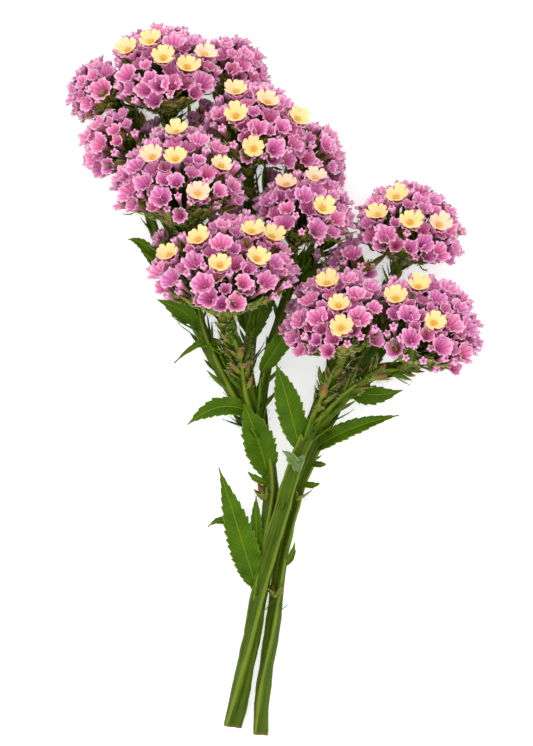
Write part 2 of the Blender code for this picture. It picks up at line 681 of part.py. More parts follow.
def build():
    clear_scene()
    parts = new_collection("statice_bunch")
    helpers = new_collection("helpers")
    block = table_cutter(helpers)
    edges = (-WING_EDGE_TURN, WING_EDGE_TURN)
    winged = wing_section("winged", edges, (WING_VALLEY,), helpers)
    three_edged = wing_section("three_edged", (0,), (), helpers)
    green = material("stem_green", (0.10, 0.20, 0.035), 0.6)
    mauve = material("calyx_mauve", (0.52, 0.13, 0.36), 0.7)

    for stem in ("front_stem", "back_stem"):
        repeats = new_collection(f"{stem}_repeats")
        trunk = None
        for n, branch in enumerate(b for b in BRANCHES if b.stem == stem):
            place = helpers if trunk is None else repeats
            name = stem if trunk is None else f"{stem}_branch_{n}"
            thick = branch.girth[0] > THICK_STEM
            section, step = (winged, STEM_STEP) if thick else (three_edged, BRANCH_STEP)
            made = winged_tube(name, full_route(branch), branch.girth, section, step, place)
            trunk = trunk or made
            for head in HEADS:
                if head.name == branch.head:
                    for layer, share in enumerate(COLLARS):
                        collar(head, share, layer * math.pi / COLLAR_POINTS, repeats)
                    for down, share in SHEATHS if head.name in SHEATHED else ():
                        sheath(head, down, share, repeats)
        for n, leaf in enumerate(leaf for leaf in LEAVES if leaf.stem == stem):
            blade(f"{stem}_leaf_{n}", leaf, repeats)
        fuse(trunk, repeats, block, parts, green)

    for head in HEADS:
        repeats = new_collection(f"{head.name}_repeats")
        plant_florets(head, repeats)
        fuse(head_core(head, helpers), repeats, block, parts, mauve)

    for section in (winged, three_edged):
        bpy.data.objects.remove(section)


build()
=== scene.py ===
"""The looks of a cut bunch of statice lying on a table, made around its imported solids.

Sizes are millimetres unless a name says otherwise. +Y runs from the cut ends to the flowers, and
+Z up from the table, towards the camera.
"""

import json
import math
import random
from collections import namedtuple

import bmesh
import bpy
from mathutils import Matrix, Vector

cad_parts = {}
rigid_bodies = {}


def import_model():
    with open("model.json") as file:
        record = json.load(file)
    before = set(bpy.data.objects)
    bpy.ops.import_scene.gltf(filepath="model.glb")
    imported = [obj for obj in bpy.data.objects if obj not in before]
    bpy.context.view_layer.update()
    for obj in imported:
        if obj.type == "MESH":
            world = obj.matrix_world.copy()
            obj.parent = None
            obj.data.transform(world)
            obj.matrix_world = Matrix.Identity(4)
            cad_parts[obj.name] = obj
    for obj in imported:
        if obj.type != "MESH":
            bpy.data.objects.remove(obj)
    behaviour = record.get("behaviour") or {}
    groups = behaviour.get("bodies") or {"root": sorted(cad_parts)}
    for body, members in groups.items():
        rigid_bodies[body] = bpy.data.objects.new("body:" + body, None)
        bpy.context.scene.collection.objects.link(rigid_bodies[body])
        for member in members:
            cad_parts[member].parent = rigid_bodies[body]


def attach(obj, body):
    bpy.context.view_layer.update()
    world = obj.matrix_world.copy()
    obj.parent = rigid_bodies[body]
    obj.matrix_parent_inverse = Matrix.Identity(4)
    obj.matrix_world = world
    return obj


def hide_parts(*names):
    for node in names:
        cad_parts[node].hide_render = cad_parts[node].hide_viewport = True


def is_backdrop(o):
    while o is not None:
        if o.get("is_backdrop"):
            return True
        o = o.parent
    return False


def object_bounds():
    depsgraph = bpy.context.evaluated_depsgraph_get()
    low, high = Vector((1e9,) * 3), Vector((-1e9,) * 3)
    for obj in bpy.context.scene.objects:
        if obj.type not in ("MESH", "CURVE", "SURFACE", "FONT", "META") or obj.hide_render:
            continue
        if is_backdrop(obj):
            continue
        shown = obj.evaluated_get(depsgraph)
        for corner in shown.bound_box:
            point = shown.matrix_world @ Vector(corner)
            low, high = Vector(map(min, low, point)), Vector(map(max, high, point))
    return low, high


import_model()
cad_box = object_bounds()

# Stems and branches
# Two fleshy green stems, cut across at their ends. Each has three thin wings along it that turn
# slowly round it, and forks towards the heads into thinner three-edged branches.

MM = 0.001
NECK_SHARE = 0.62  # where a head's branch opens, down from its middle, as a share of its radius
FOOT_SHARE = 0.30
FLORET_HEIGHT = 9.5
SMALLEST_CORE = 0.42
CLEARANCE = 0.4

Head = namedtuple("Head", "name place radius lean rise spread open_flowers")
Branch = namedtuple("Branch", "stem head girth route")

# place is the middle of the head's ball. lean turns its axis from +Y towards +X, rise towards +Z,
# and florets cover it out to spread degrees. open_flowers are places of yellow corollas across
# and along from that middle, as seen from above.
HEADS = (
    Head("crown_head", (-51.9, 142.0, 21.5), 28, -8, 20, 84,
         ((-16, 13), (-6, 17), (0, 9), (11, 5), (18, 11))),
    Head("far_left_head", (-82.3, 138.0, 20), 16, -50, 15, 85, ()),
    Head("top_back_head", (-21.0, 148.8, 11.0), 17, 24, 15, 88, ()),
    Head("left_head", (-70.5, 112.8, 20), 21.5, -35, 20, 88, ((4, 9),)),
    Head("centre_left_head", (-43.6, 89.5, 36), 32, -5, 18, 84,
         ((-2, 26), (-2, 13), (8, -3), (19, 10), (-12, 13))),
    Head("upper_head", (-10.5, 116.2, 27), 26, 8, 24, 88,
         ((-7, 19), (-7, 7), (7, 13), (21, 7), (1, -8))),
    Head("upper_side_head", (15.3, 105.7, 11.5), 19.5, 45, 20, 85, ()),
    Head("middle_head", (13.3, 77.5, 27), 23.5, 14, 20, 86, ((-7, 14), (9, 3), (6, 18))),
    Head("front_left_head", (-22.9, 48.0, 42), 34, 0, 18, 82,
         ((-12, 17), (-2, 5), (12, 20), (15, 8), (22, 19), (-25, 10))),
    Head("right_back_head", (64.2, 69.4, 15.0), 26, 16, 20, 86,
         ((-6, 17), (-15, 9), (0, 5), (13, 4), (15, 11))),
    Head("bud_head", (38.6, 56.0, 17), 13.5, 0, 15, 85, ()),
    Head("front_right_head", (31.0, 25.5, 34), 27, -8, 22, 84,
         ((-1, 9), (0, -1), (-6, 19), (17, -7))),
    Head("far_right_head", (68.4, 21.8, 30), 28.5, 20, 22, 88, ((-11, 16), (6, 5), (-1, 21))),
)

# girth is the radius over the wings where the branch starts and where it ends. A branch with a
# head goes on from its route to the head's neck and foot.
BRANCHES = (
    Branch("front_stem", None, (5.3, 3.8),
           ((-20.9, -168.2, 4.3), (-15.8, -147.0, 5.2), (-10.6, -124.5, 6.4), (-7.2, -106.8, 8.0),
            (-2.0, -86.0, 11), (3.6, -64.5, 14.5), (8.5, -45.5, 17.7), (13.8, -30.9, 20),
            (19.0, -19.0, 22))),
    Branch("front_stem", None, (3.9, 4.4),
           ((-8.9, -110.0, 6.4), (-5.2, -86.0, 7.2), (-2.5, -66.6, 8.7), (-1.4, -50.9, 10.6),
            (-3.8, -35.7, 13.5), (-8.6, -21.4, 17))),
    Branch("front_stem", "front_right_head", (4.3, 3.4),
           ((13.0, -33.0, 19.5), (22.8, -9.5, 23), (28.6, 5.0, 26))),
    Branch("front_stem", "far_right_head", (4.0, 3.2),
           ((15.0, -28.0, 20.5), (33.8, -7.1, 22), (50.0, 4.0, 23))),
    Branch("front_stem", "front_left_head", (4.6, 3.8),
           ((-4.5, -34.0, 14), (-12.9, -7.1, 21), (-16.7, 11.9, 26))),
    Branch("front_stem", "centre_left_head", (4.2, 3.1),
           ((-5.7, -30.0, 14.5), (-16.2, -11.9, 17), (-27.6, 8.6, 19), (-35.2, 26.2, 20),
            (-39.0, 45.2, 17), (-41.5, 60.0, 22))),
    Branch("front_stem", "left_head", (3.2, 2.4),
           ((-29.0, 11.0, 18.5), (-44.7, 38.1, 15), (-54.3, 61.9, 13), (-60.5, 83.3, 12))),
    Branch("front_stem", "crown_head", (3.0, 2.5),
           ((-44.7, 38.1, 14.5), (-48.6, 71.4, 8.5), (-50.5, 95.2, 6), (-51.5, 114.2, 8))),
    Branch("front_stem", "far_left_head", (1.8, 1.4),
           ((-49.5, 88.0, 7), (-56.5, 112.0, 4.5), (-66.5, 126.5, 11))),
    Branch("front_stem", "upper_head", (3.4, 2.7),
           ((-7.0, -26.0, 15.5), (-12.5, 0.0, 15), (-11.0, 24.0, 12.5), (-10.5, 52.4, 10.5),
            (-10.5, 80.9, 10))),
    Branch("front_stem", "top_back_head", (1.8, 1.5),
           ((-10.5, 70.0, 10.5), (-19.0, 98.0, 6.5), (-24.5, 120.0, 8))),
    Branch("front_stem", "upper_side_head", (1.8, 1.5),
           ((-10.8, 60.0, 10.5), (-1.0, 80.0, 8))),
    Branch("front_stem", "middle_head", (3.3, 2.6),
           ((-7.6, -18.0, 17), (-2.9, 9.5, 16), (4.3, 33.3, 14), (9.0, 52.0, 14))),
    Branch("back_stem", None, (4.2, 3.7),
           ((-7.4, -172.5, 3.2), (-5.3, -148.5, 3.6), (-0.9, -123.8, 4.0), (1.6, -104.7, 4.1),
            (4.2, -85.7, 4.4), (8.0, -66.6, 5.4), (12.2, -51.4, 6.8), (16.8, -39.0, 8.2),
            (23.3, -23.8, 9.6))),
    Branch("back_stem", "right_back_head", (3.4, 2.6),
           ((21.0, -30.0, 9), (33.8, -4.8, 10.5), (44.7, 16.7, 10), (54.3, 38.1, 9))),
    Branch("back_stem", "bud_head", (2.0, 1.5),
           ((22.5, -26.0, 9.4), (30.5, -2.4, 11.5), (35.2, 21.4, 11))),
)


def head_axis(head):
    lean, rise = math.radians(head.lean), math.radians(head.rise)
    return Vector((math.sin(lean) * math.cos(rise), math.cos(lean) * math.cos(rise), math.sin(rise)))


def core_radius(head):
    return max(head.radius - FLORET_HEIGHT, SMALLEST_CORE * head.radius)


def neck(head):
    return Vector(head.place) - head_axis(head) * NECK_SHARE * head.radius


def full_route(branch):
    points = [Vector(p) for p in branch.route]
    for head in HEADS:
        if head.name == branch.head:
            depth = FOOT_SHARE * core_radius(head) + CLEARANCE
            foot = Vector(head.place) - head_axis(head) * depth
            points.extend((neck(head), foot))
    return points


def smooth_route(points, step):
    """Points along a Catmull-Rom curve through the route, about step apart."""
    ends = [2 * points[0] - points[1], *points, 2 * points[-1] - points[-2]]
    found = []
    for a, b, c, d in zip(ends, ends[1:], ends[2:], ends[3:]):
        pieces = max(1, round((c - b).length / step))
        for n in range(pieces):
            t = n / pieces
            found.append(0.5 * (2 * b + (c - a) * t + (2 * a - 5 * b + 4 * c - d) * t**2
                                + (3 * b - a - 3 * c + d) * t**3))
    return [*found, points[-1]]


def linear(code):
    """An sRGB hex colour as linear red, green, blue and alpha."""
    parts = [int(code[n:n + 2], 16) / 255 for n in (1, 3, 5)]
    return (*(p / 12.92 if p <= 0.04045 else ((p + 0.055) / 1.055) ** 2.4 for p in parts), 1)


def add(tree, kind, inputs=None, **settings):
    """Adds a node. inputs maps a socket to a value, or to the output of another node."""
    node = tree.nodes.new(kind)
    for name, value in settings.items():
        setattr(node, name, value)
    for socket, value in (inputs or {}).items():
        if isinstance(value, bpy.types.NodeSocket):
            tree.links.new(value, node.inputs[socket])
        else:
            node.inputs[socket].default_value = value
    return node


def new_finish(name, **sockets):
    """A material with its shader's plain numbers set, and its tree and shader."""
    finish = bpy.data.materials.new(name)
    finish.use_nodes = True
    shader = finish.node_tree.nodes["Principled BSDF"]
    for socket, value in sockets.items():
        shader.inputs[socket.replace("_", " ")].default_value = value
    return finish, finish.node_tree, shader


def new_tree(name, sockets):
    """A Geometry Nodes tree with named inputs, and the outputs that its input node gives."""
    tree = bpy.data.node_groups.new(name, "GeometryNodeTree")
    for label, kind in (("Geometry", "Geometry"), *sockets, ("Material", "Material")):
        tree.interface.new_socket(name=label, in_out="INPUT", socket_type=f"NodeSocket{kind}")
    tree.interface.new_socket(name="Geometry", in_out="OUTPUT", socket_type="NodeSocketGeometry")
    return tree, add(tree, "NodeGroupInput").outputs


def end_tree(tree, geometry, given):
    real = add(tree, "GeometryNodeRealizeInstances", {"Geometry": geometry})
    smooth = add(tree, "GeometryNodeSetShadeSmooth", {"Geometry": real.outputs[0]})
    done = add(tree, "GeometryNodeSetMaterial",
               {"Geometry": smooth.outputs[0], "Material": given["Material"]})
    add(tree, "NodeGroupOutput", {"Geometry": done.outputs[0]})


def new_object(name, data, collection=None):
    """A new object in the collection, or in the scene's own where none is given."""
    made = bpy.data.objects.new(name, data)
    (bpy.context.scene.collection if collection is None else collection).objects.link(made)
    return made


def mesh_from(bm, name):
    mesh = bpy.data.meshes.new(name)
    bm.to_mesh(mesh)
    bm.free()
    return mesh


def baked(source):
    """What the source object's modifiers make of it, as a plain mesh object of its name."""
    graph = bpy.context.evaluated_depsgraph_get()
    made = bpy.data.meshes.new_from_object(
        source.evaluated_get(graph), preserve_all_data_layers=True, depsgraph=graph)
    name = source.name
    bpy.data.objects.remove(source)
    return new_object(name, made)


def grown(tree, source, **values):
    """What the tree makes of the source object, with its named inputs set to the values."""
    modifier = source.modifiers.new("grown", "NODES")
    modifier.node_group = tree
    for item in tree.interface.items_tree:
        label = item.name.replace(" ", "_")
        if item.in_out == "INPUT" and label in values:
            modifier[item.identifier] = values[label]
    return baked(source)


def wire(name, points, edges=(), **layers):
    """An object of bare points and edges, in metres, with named numbers or vectors at its points."""
    mesh = bpy.data.meshes.new(name)
    mesh.from_pydata([p * MM for p in points], edges, [])
    for label, values in layers.items():
        vector = isinstance(values[0], Vector)
        layer = mesh.attributes.new(label, "FLOAT_VECTOR" if vector else "FLOAT", "POINT")
        flat = [c for v in values for c in v] if vector else values
        layer.data.foreach_set("vector" if vector else "value", flat)
    return new_object(name, mesh)


def finished(piece, slot, *nodes):
    for v in piece.data.vertices:
        v.co.z = max(v.co.z, 0)
    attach(piece, "root")
    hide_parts(*nodes)


WING_SHARPNESS = 2.2  # how fast a wing thins towards its edge
FINE_RIBS = 15.0  # round a stem
SWELLING_SCALE = 90.0  # swellings to a metre, so one to about every 11 mm
EDGE_ROUGHNESS = (0.6, 2.6)  # how much the valleys and the wing edges swell


def stem_tree():
    """Sweeps a winged section along every branch, and marks what the skin's colours need."""
    tree, given = new_tree("winged_stem", (
        ("Wings", "Int"), ("Valley", "Float"), ("Sides", "Int"), ("Ribs", "Float"), ("Waviness", "Float")))
    girth, twist, rim = (add(tree, "GeometryNodeInputNamedAttribute", {"Name": label}, data_type="FLOAT")
                         for label in ("girth", "twist", "edge"))
    curve = add(tree, "GeometryNodeMeshToCurve", {"Mesh": given["Geometry"]})
    turned = add(tree, "GeometryNodeSetCurveTilt", {"Curve": curve.outputs[0], "Tilt": twist.outputs[0]})
    along = add(tree, "GeometryNodeSplineParameter")
    measured = add(tree, "GeometryNodeStoreNamedAttribute",
                   {"Geometry": turned.outputs[0], "Name": "length", "Value": along.outputs["Length"]},
                   data_type="FLOAT", domain="POINT")

    ring = add(tree, "GeometryNodeCurvePrimitiveCircle", {"Resolution": given["Sides"], "Radius": 1.0})
    place = add(tree, "GeometryNodeInputPosition")
    apart = add(tree, "ShaderNodeSeparateXYZ", {0: place.outputs[0]})
    angle = add(tree, "ShaderNodeMath", {0: apart.outputs[1], 1: apart.outputs[0]}, operation="ARCTAN2")
    half = add(tree, "ShaderNodeMath", {0: given["Wings"], 1: 0.5}, operation="MULTIPLY")
    phase = add(tree, "ShaderNodeMath", {0: angle.outputs[0], 1: half.outputs[0]}, operation="MULTIPLY")
    wave = add(tree, "ShaderNodeMath", {0: phase.outputs[0]}, operation="COSINE")
    wing = add(tree, "ShaderNodeMath", {0: wave.outputs[0]}, operation="ABSOLUTE")
    sharp = add(tree, "ShaderNodeMath", {0: wing.outputs[0], 1: WING_SHARPNESS}, operation="POWER")
    many = add(tree, "ShaderNodeMath", {0: angle.outputs[0], 1: FINE_RIBS}, operation="MULTIPLY")
    rib = add(tree, "ShaderNodeMath", {0: many.outputs[0]}, operation="COSINE")
    radius = add(tree, "ShaderNodeMapRange", {0: sharp.outputs[0], 3: given["Valley"], 4: 1.0})
    ribbed = add(tree, "ShaderNodeMath", {0: rib.outputs[0], 1: given["Ribs"], 2: radius.outputs[0]},
                 operation="MULTIPLY_ADD")
    shaped = add(tree, "ShaderNodeVectorMath", {0: place.outputs[0], 3: ribbed.outputs[0]}, operation="SCALE")
    around = add(tree, "GeometryNodeStoreNamedAttribute",
                 {"Geometry": ring.outputs[0], "Name": "around", "Value": place.outputs[0]},
                 data_type="FLOAT_VECTOR", domain="POINT")
    edged = add(tree, "GeometryNodeStoreNamedAttribute",
                {"Geometry": around.outputs[0], "Name": "edge", "Value": sharp.outputs[0]},
                data_type="FLOAT", domain="POINT")
    section = add(tree, "GeometryNodeSetPosition",
                  {"Geometry": edged.outputs[0], "Position": shaped.outputs[0]})
    swept = add(tree, "GeometryNodeCurveToMesh",
                {"Curve": measured.outputs[0], "Profile Curve": section.outputs[0],
                 "Scale": girth.outputs[0], "Fill Caps": True})
    bumps = add(tree, "ShaderNodeTexNoise", {"Scale": SWELLING_SCALE, "Detail": 2.0})
    centred = add(tree, "ShaderNodeMath", {0: bumps.outputs[0], 1: 0.5}, operation="SUBTRACT")
    rough = add(tree, "ShaderNodeMapRange",
                {0: rim.outputs[0], 1: 0.5, 2: 1.0, 3: EDGE_ROUGHNESS[0], 4: EDGE_ROUGHNESS[1]})
    swing = add(tree, "ShaderNodeMath", {0: centred.outputs[0], 1: rough.outputs[0]}, operation="MULTIPLY")
    size = add(tree, "ShaderNodeMath", {0: swing.outputs[0], 1: given["Waviness"]}, operation="MULTIPLY")
    normal = add(tree, "GeometryNodeInputNormal")
    offset = add(tree, "ShaderNodeVectorMath", {0: normal.outputs[0], 3: size.outputs[0]}, operation="SCALE")
    wavy = add(tree, "GeometryNodeSetPosition", {"Geometry": swept.outputs[0], "Offset": offset.outputs[0]})
    end_tree(tree, wavy.outputs[0], given)
    return tree


def green_skin():
    """Living statice stem: a waxy green skin with paler fibres along it and dry pale wing edges."""
    finish, tree, shader = new_finish("waxy_green_stem_skin", Roughness=0.55, Specular_IOR_Level=0.12)
    around, length, edge, end = (add(tree, "ShaderNodeAttribute", attribute_name=label)
                                 for label in ("around", "length", "edge", "cut"))
    # Fibres about half a millimetre wide run along the stem
    across = add(tree, "ShaderNodeVectorMath", {0: around.outputs["Vector"], 3: 9.0}, operation="SCALE")
    run = add(tree, "ShaderNodeMath", {0: length.outputs["Fac"], 1: 60.0}, operation="MULTIPLY")
    lifted = add(tree, "ShaderNodeCombineXYZ", {2: run.outputs[0]})
    skin = add(tree, "ShaderNodeVectorMath", {0: across.outputs[0], 1: lifted.outputs[0]}, operation="ADD")
    fibre = add(tree, "ShaderNodeTexNoise", {"Vector": skin.outputs[0], "Scale": 1.0, "Detail": 3.0})
    place = add(tree, "ShaderNodeTexCoord")
    patch = add(tree, "ShaderNodeTexNoise", {"Vector": place.outputs["Object"], "Scale": 70.0})
    dark, mid, light = (linear(c) for c in ("#233602", "#435D04", "#76881C"))
    base = add(tree, "ShaderNodeMix", {0: patch.outputs[0], 6: dark, 7: mid}, data_type="RGBA")
    streak = add(tree, "ShaderNodeMapRange", {0: fibre.outputs[0], 1: 0.42, 2: 0.75, 3: 0.0, 4: 0.5})
    streaked = add(tree, "ShaderNodeMix", {0: streak.outputs[0], 6: base.outputs[2], 7: light},
                   data_type="RGBA")
    rim = add(tree, "ShaderNodeMapRange", {0: edge.outputs["Fac"], 1: 0.8, 2: 1.0, 3: 0.0, 4: 0.5})
    rimmed = add(tree, "ShaderNodeMix", {0: rim.outputs[0], 6: streaked.outputs[2], 7: linear("#8C9C2C")},
                 data_type="RGBA")
    # The cut ends have dried brown over their last millimetre
    dried = add(tree, "ShaderNodeMapRange", {0: end.outputs["Fac"], 1: 0.4, 2: 1.0, 3: 0.0, 4: 0.85})
    browned = add(tree, "ShaderNodeMix", {0: dried.outputs[0], 6: rimmed.outputs[2], 7: linear("#6E5A33")},
                  data_type="RGBA")
    tree.links.new(browned.outputs[2], shader.inputs["Base Color"])
    bump = add(tree, "ShaderNodeBump", {"Strength": 0.35, "Distance": 0.0004, "Height": fibre.outputs[0]})
    tree.links.new(bump.outputs[0], shader.inputs["Normal"])
    return finish


STEM_STEP = 2.4
STEM_TWIST = math.radians(70)  # along each 100 mm
THICK_STEM = 3.85  # from this girth a branch is a winged trunk
WINGS = 3
STEM_RIBS = 0.025  # height of a fine rib, as a share of the girth
STEM_WAVINESS = 0.0009  # in metres, the height of a stem's swellings
# Corners round the section, and the radius between its wings as a share of that at their edges
TRUNK_SECTION = (36, 0.5)
BRANCH_SECTION = (21, 0.58)
CUT_BELOW = -150  # a route that starts below this Y starts at a cut
FORK_TAPER = (0.45, 0.65, 0.85)  # girth of a branch's first points, where it leaves another

stem_growth = stem_tree()
stem_skin = green_skin()


def routes_object(name, routes):
    """Branches as one object of edges, each a list of (point, girth) pairs from base to tip."""
    points, edges, girths, twists, cuts = [], [], [], [], []
    for route in routes:
        first = len(points)
        for n, (point, girth) in enumerate(route):
            if n < len(FORK_TAPER) and route[0][0].y > CUT_BELOW:
                girth *= FORK_TAPER[n]
            points.append(point)
            girths.append(girth * MM)
            twists.append(STEM_TWIST * n * STEM_STEP / 100)
            cuts.append(1.0 if n == 0 and point.y < CUT_BELOW else 0.0)
            if n:
                edges.append((first + n - 1, first + n))
    return wire(name, points, edges, girth=girths, twist=twists, cut=cuts)


for stem in ("front_stem", "back_stem"):
    for thick, label, (sides, valley) in ((True, "trunks", TRUNK_SECTION),
                                          (False, "branches", BRANCH_SECTION)):
        routes = []
        for branch in BRANCHES:
            if branch.stem == stem and (branch.girth[0] > THICK_STEM) == thick:
                points = smooth_route(full_route(branch), STEM_STEP)
                first, last = branch.girth
                routes.append([(p, first + (last - first) * n / len(points)) for n, p in enumerate(points)])
        source = routes_object(f"{stem}_{label}", routes)
        piece = grown(stem_growth, source, Wings=WINGS, Valley=valley, Sides=sides, Ribs=STEM_RIBS,
                      Waviness=STEM_WAVINESS, Material=stem_skin)
        finished(piece, "stem_green", stem)

# Leaves
# Lance-shaped green leaves on both stems: thin, folded along a pale midrib, with side veins, a wavy
# edge and forward-pointing teeth. One small old bract at the fork has dried pale and crumpled.

Leaf = namedtuple("Leaf", "stem base bend tip half_width facing")

# A blade leaves its base, passes through bend and ends in its tip. Its upper face looks along facing.
UP = (0, 0, 1)
LEAVES = (
    Leaf("front_stem", (-9, -100, 7), (-16, -76, 13), (-26.5, -42.5, 16), 7.2, UP),
    Leaf("front_stem", (-9.6, -103, 6.4), (-19, -72, 8), (-32, -71.5, 4), 3.6, (-0.6, -0.6, 0.7)),
    Leaf("front_stem", (-7, -92, 8), (-8.5, -72, 11), (-8.5, -56, 12), 3.0, UP),
    Leaf("front_stem", (-3, -46, 12), (-8, -28, 22), (-14.5, -11.5, 27), 7.8, (0.2, -0.2, 1)),
    Leaf("front_stem", (-11, -16, 19), (-26, -13, 23), (-41.5, -21.5, 19), 4.6, (0, 0.3, 1)),
    Leaf("front_stem", (-19, -4, 18), (-29, 17, 22), (-48, 8, 17), 3.4, (0.2, 0.7, 0.7)),
    Leaf("front_stem", (-38, 27, 19), (-44, 33, 21), (-56, 38.5, 18), 4.8, (-0.3, -0.3, 1)),
    Leaf("front_stem", (-6, 4, 20), (3, 18, 24), (14, 34, 22), 4.8, (0.3, -0.3, 1)),
    Leaf("front_stem", (12.2, -33, 20.5), (7, -12, 27), (1, 7.5, 29), 6.6, UP),
    Leaf("back_stem", (19.6, -34, 8.8), (36, -24, 17), (60, -17, 18), 4.4, (-0.2, 0.4, 1)),
    Leaf("back_stem", (36, -2, 10), (46, -7, 15), (62, -5, 14), 5.2, (0.1, -0.2, 1)),
    Leaf("front_stem", (-47, 42, 14.5), (-60, 62, 13), (-70.5, 68, 9), 3.0, (-0.3, 0.5, 0.9)),
    Leaf("front_stem", (-46, 40, 14.5), (-56, 54, 16), (-64, 62, 14), 2.2, (-0.3, 0.5, 0.9)),
    Leaf("back_stem", (4.4, -90, 5), (8, -86, 8), (10, -79, 10.5), 1.8, (0.3, 0, 1)),
    Leaf("back_stem", (13, -50, 7.4), (18, -51, 11), (22, -50, 12), 1.7, (0, 0.4, 1)),
    Leaf("front_stem", (-2.2, -50, 11.6), (-8, -48, 14), (-12.5, -44.5, 13), 1.7, (0, 0.4, 1)),
    Leaf("back_stem", (17, -40, 8.4), (22, -41, 12), (25, -40.5, 13), 1.6, (0, 0.4, 1)),
    Leaf("front_stem", (-11.5, 22, 12), (-18, 46, 5), (-22, 74, 3), 4.6, (-0.2, -0.2, 1)),
    Leaf("front_stem", (-12, 18, 15), (-4, 42, 18), (2, 64, 13), 5.2, (0.3, -0.2, 1)),
    Leaf("front_stem", (-50.5, 94, 6), (-44, 108, 3.5), (-35, 122, 5), 4.0, (0.1, -0.1, 1)),
    Leaf("front_stem", (-50, 84, 8), (-58, 100, 7), (-67, 118, 5), 3.6, (-0.2, -0.1, 1)),
    Leaf("front_stem", (-33, 20, 20), (-44, 48, 19), (-52, 72, 15), 5.0, (-0.3, -0.2, 1)),
    Leaf("back_stem", (34, -6, 11), (49, 12, 8), (58, 36, 6), 4.2, (0.2, -0.2, 1)),
)

LEAF_COLUMNS = 5  # from the midrib to each edge
LEAF_SECTION = 0.9
LEAF_THICKNESS = 0.35
LEAF_FOLD = 0.22
LEAF_STALK = 0.16
LEAF_WAVINESS = 0.13  # of the edge, as a share of the half width
NARROWEST_LEAF = 0.3
FURROW = 0.05  # depth of the midrib's furrow, as a share of the half width
FURROW_TIGHTNESS = 6
TOOTH_PITCH = 3.6
TOOTH_REACH = 0.20  # of the half width
TOOTH_REST = 0.45  # how far along a tooth its edge is at the blade's own width
TOOTH_LEAN = 0.8  # towards the leaf's tip
TOOTH_SIZES = (0.55, 1.45)
TEETH_TO_A_WAVE = 2.6


def on_midrib(base, control, tip, share):
    """A point of a curved midrib, from its base at 0 to its tip at 1."""
    return (1 - share) ** 2 * base + 2 * share * (1 - share) * control + share**2 * tip


def blade(leaf, seed, waviness=LEAF_WAVINESS):
    """One leaf's points, faces and marks for its veins."""
    rng = random.Random(seed)
    base, bend, tip, facing = (Vector(v) for v in (leaf.base, leaf.bend, leaf.tip, leaf.facing))
    control = 2 * bend - (base + tip) / 2
    length = (bend - base).length + (tip - bend).length
    sections = max(8, round(length / LEAF_SECTION))
    teeth = max(3, round(length / TOOTH_PITCH))
    ripple = rng.uniform(0, math.tau)
    reaches = [[rng.uniform(*TOOTH_SIZES) for _ in range(teeth + 1)] for _ in range(2)]
    points, marks = [], []
    for section in range(sections + 1):
        share = section / sections
        along = on_midrib(base, control, tip, share)
        ahead = ((1 - share) * (control - base) + share * (tip - control)).normalized()
        side = ahead.cross(facing).normalized()
        over = side.cross(ahead).normalized()
        belly = math.sin(math.pi * share**0.8) ** 0.7 if share < 1 else 0
        width = leaf.half_width * (LEAF_STALK + (1 - LEAF_STALK) * belly) * (1 - share**6)
        width = max(NARROWEST_LEAF, width)
        for column in range(-LEAF_COLUMNS, LEAF_COLUMNS + 1):
            across = column / LEAF_COLUMNS
            out = abs(across)
            tooth = (share * teeth) % 1 if out == 1 else TOOTH_REST
            size = reaches[across > 0][int(share * teeth)]
            reach = width * out * (1 + (tooth - TOOTH_REST) * TOOTH_REACH * size * (out == 1))
            phase = share * math.tau * teeth / TEETH_TO_A_WAVE + ripple + (across > 0)
            wave = waviness * width * out**2 * math.sin(phase)
            furrow = -FURROW * width * math.exp(-((out * FURROW_TIGHTNESS) ** 2))
            lift = abs(reach) * LEAF_FOLD + wave + furrow
            forward = ahead * (TOOTH_LEAN * size * tooth * (out == 1))
            points.append(along + side * math.copysign(reach, across) * (column != 0) + over * lift + forward)
            marks.append(Vector((across, share * length, width)))
    faces = []
    row = 2 * LEAF_COLUMNS + 1
    for section in range(sections):
        for column in range(row - 1):
            a = section * row + column
            faces.append((a, a + 1, a + row + 1, a + row))
    return points, faces, marks


def thickened(name, blades, thickness, finish):
    """Thin blades as one object with real thickness, and their marks kept for the material."""
    points, faces, marks = [], [], []
    for own_points, own_faces, own_marks in blades:
        first = len(points)
        points.extend(p * MM for p in own_points)
        faces.extend(tuple(first + i for i in face) for face in own_faces)
        marks.extend(own_marks)
    mesh = bpy.data.meshes.new(name)
    mesh.from_pydata(points, [], faces)
    layer = mesh.attributes.new("blade", "FLOAT_VECTOR", "POINT")
    layer.data.foreach_set("vector", [c for mark in marks for c in mark])
    mesh.materials.append(finish)
    mesh.shade_smooth()
    source = new_object(name, mesh)
    skin = source.modifiers.new("thickness", "SOLIDIFY")
    skin.thickness = thickness * MM
    skin.offset = 0
    return baked(source)


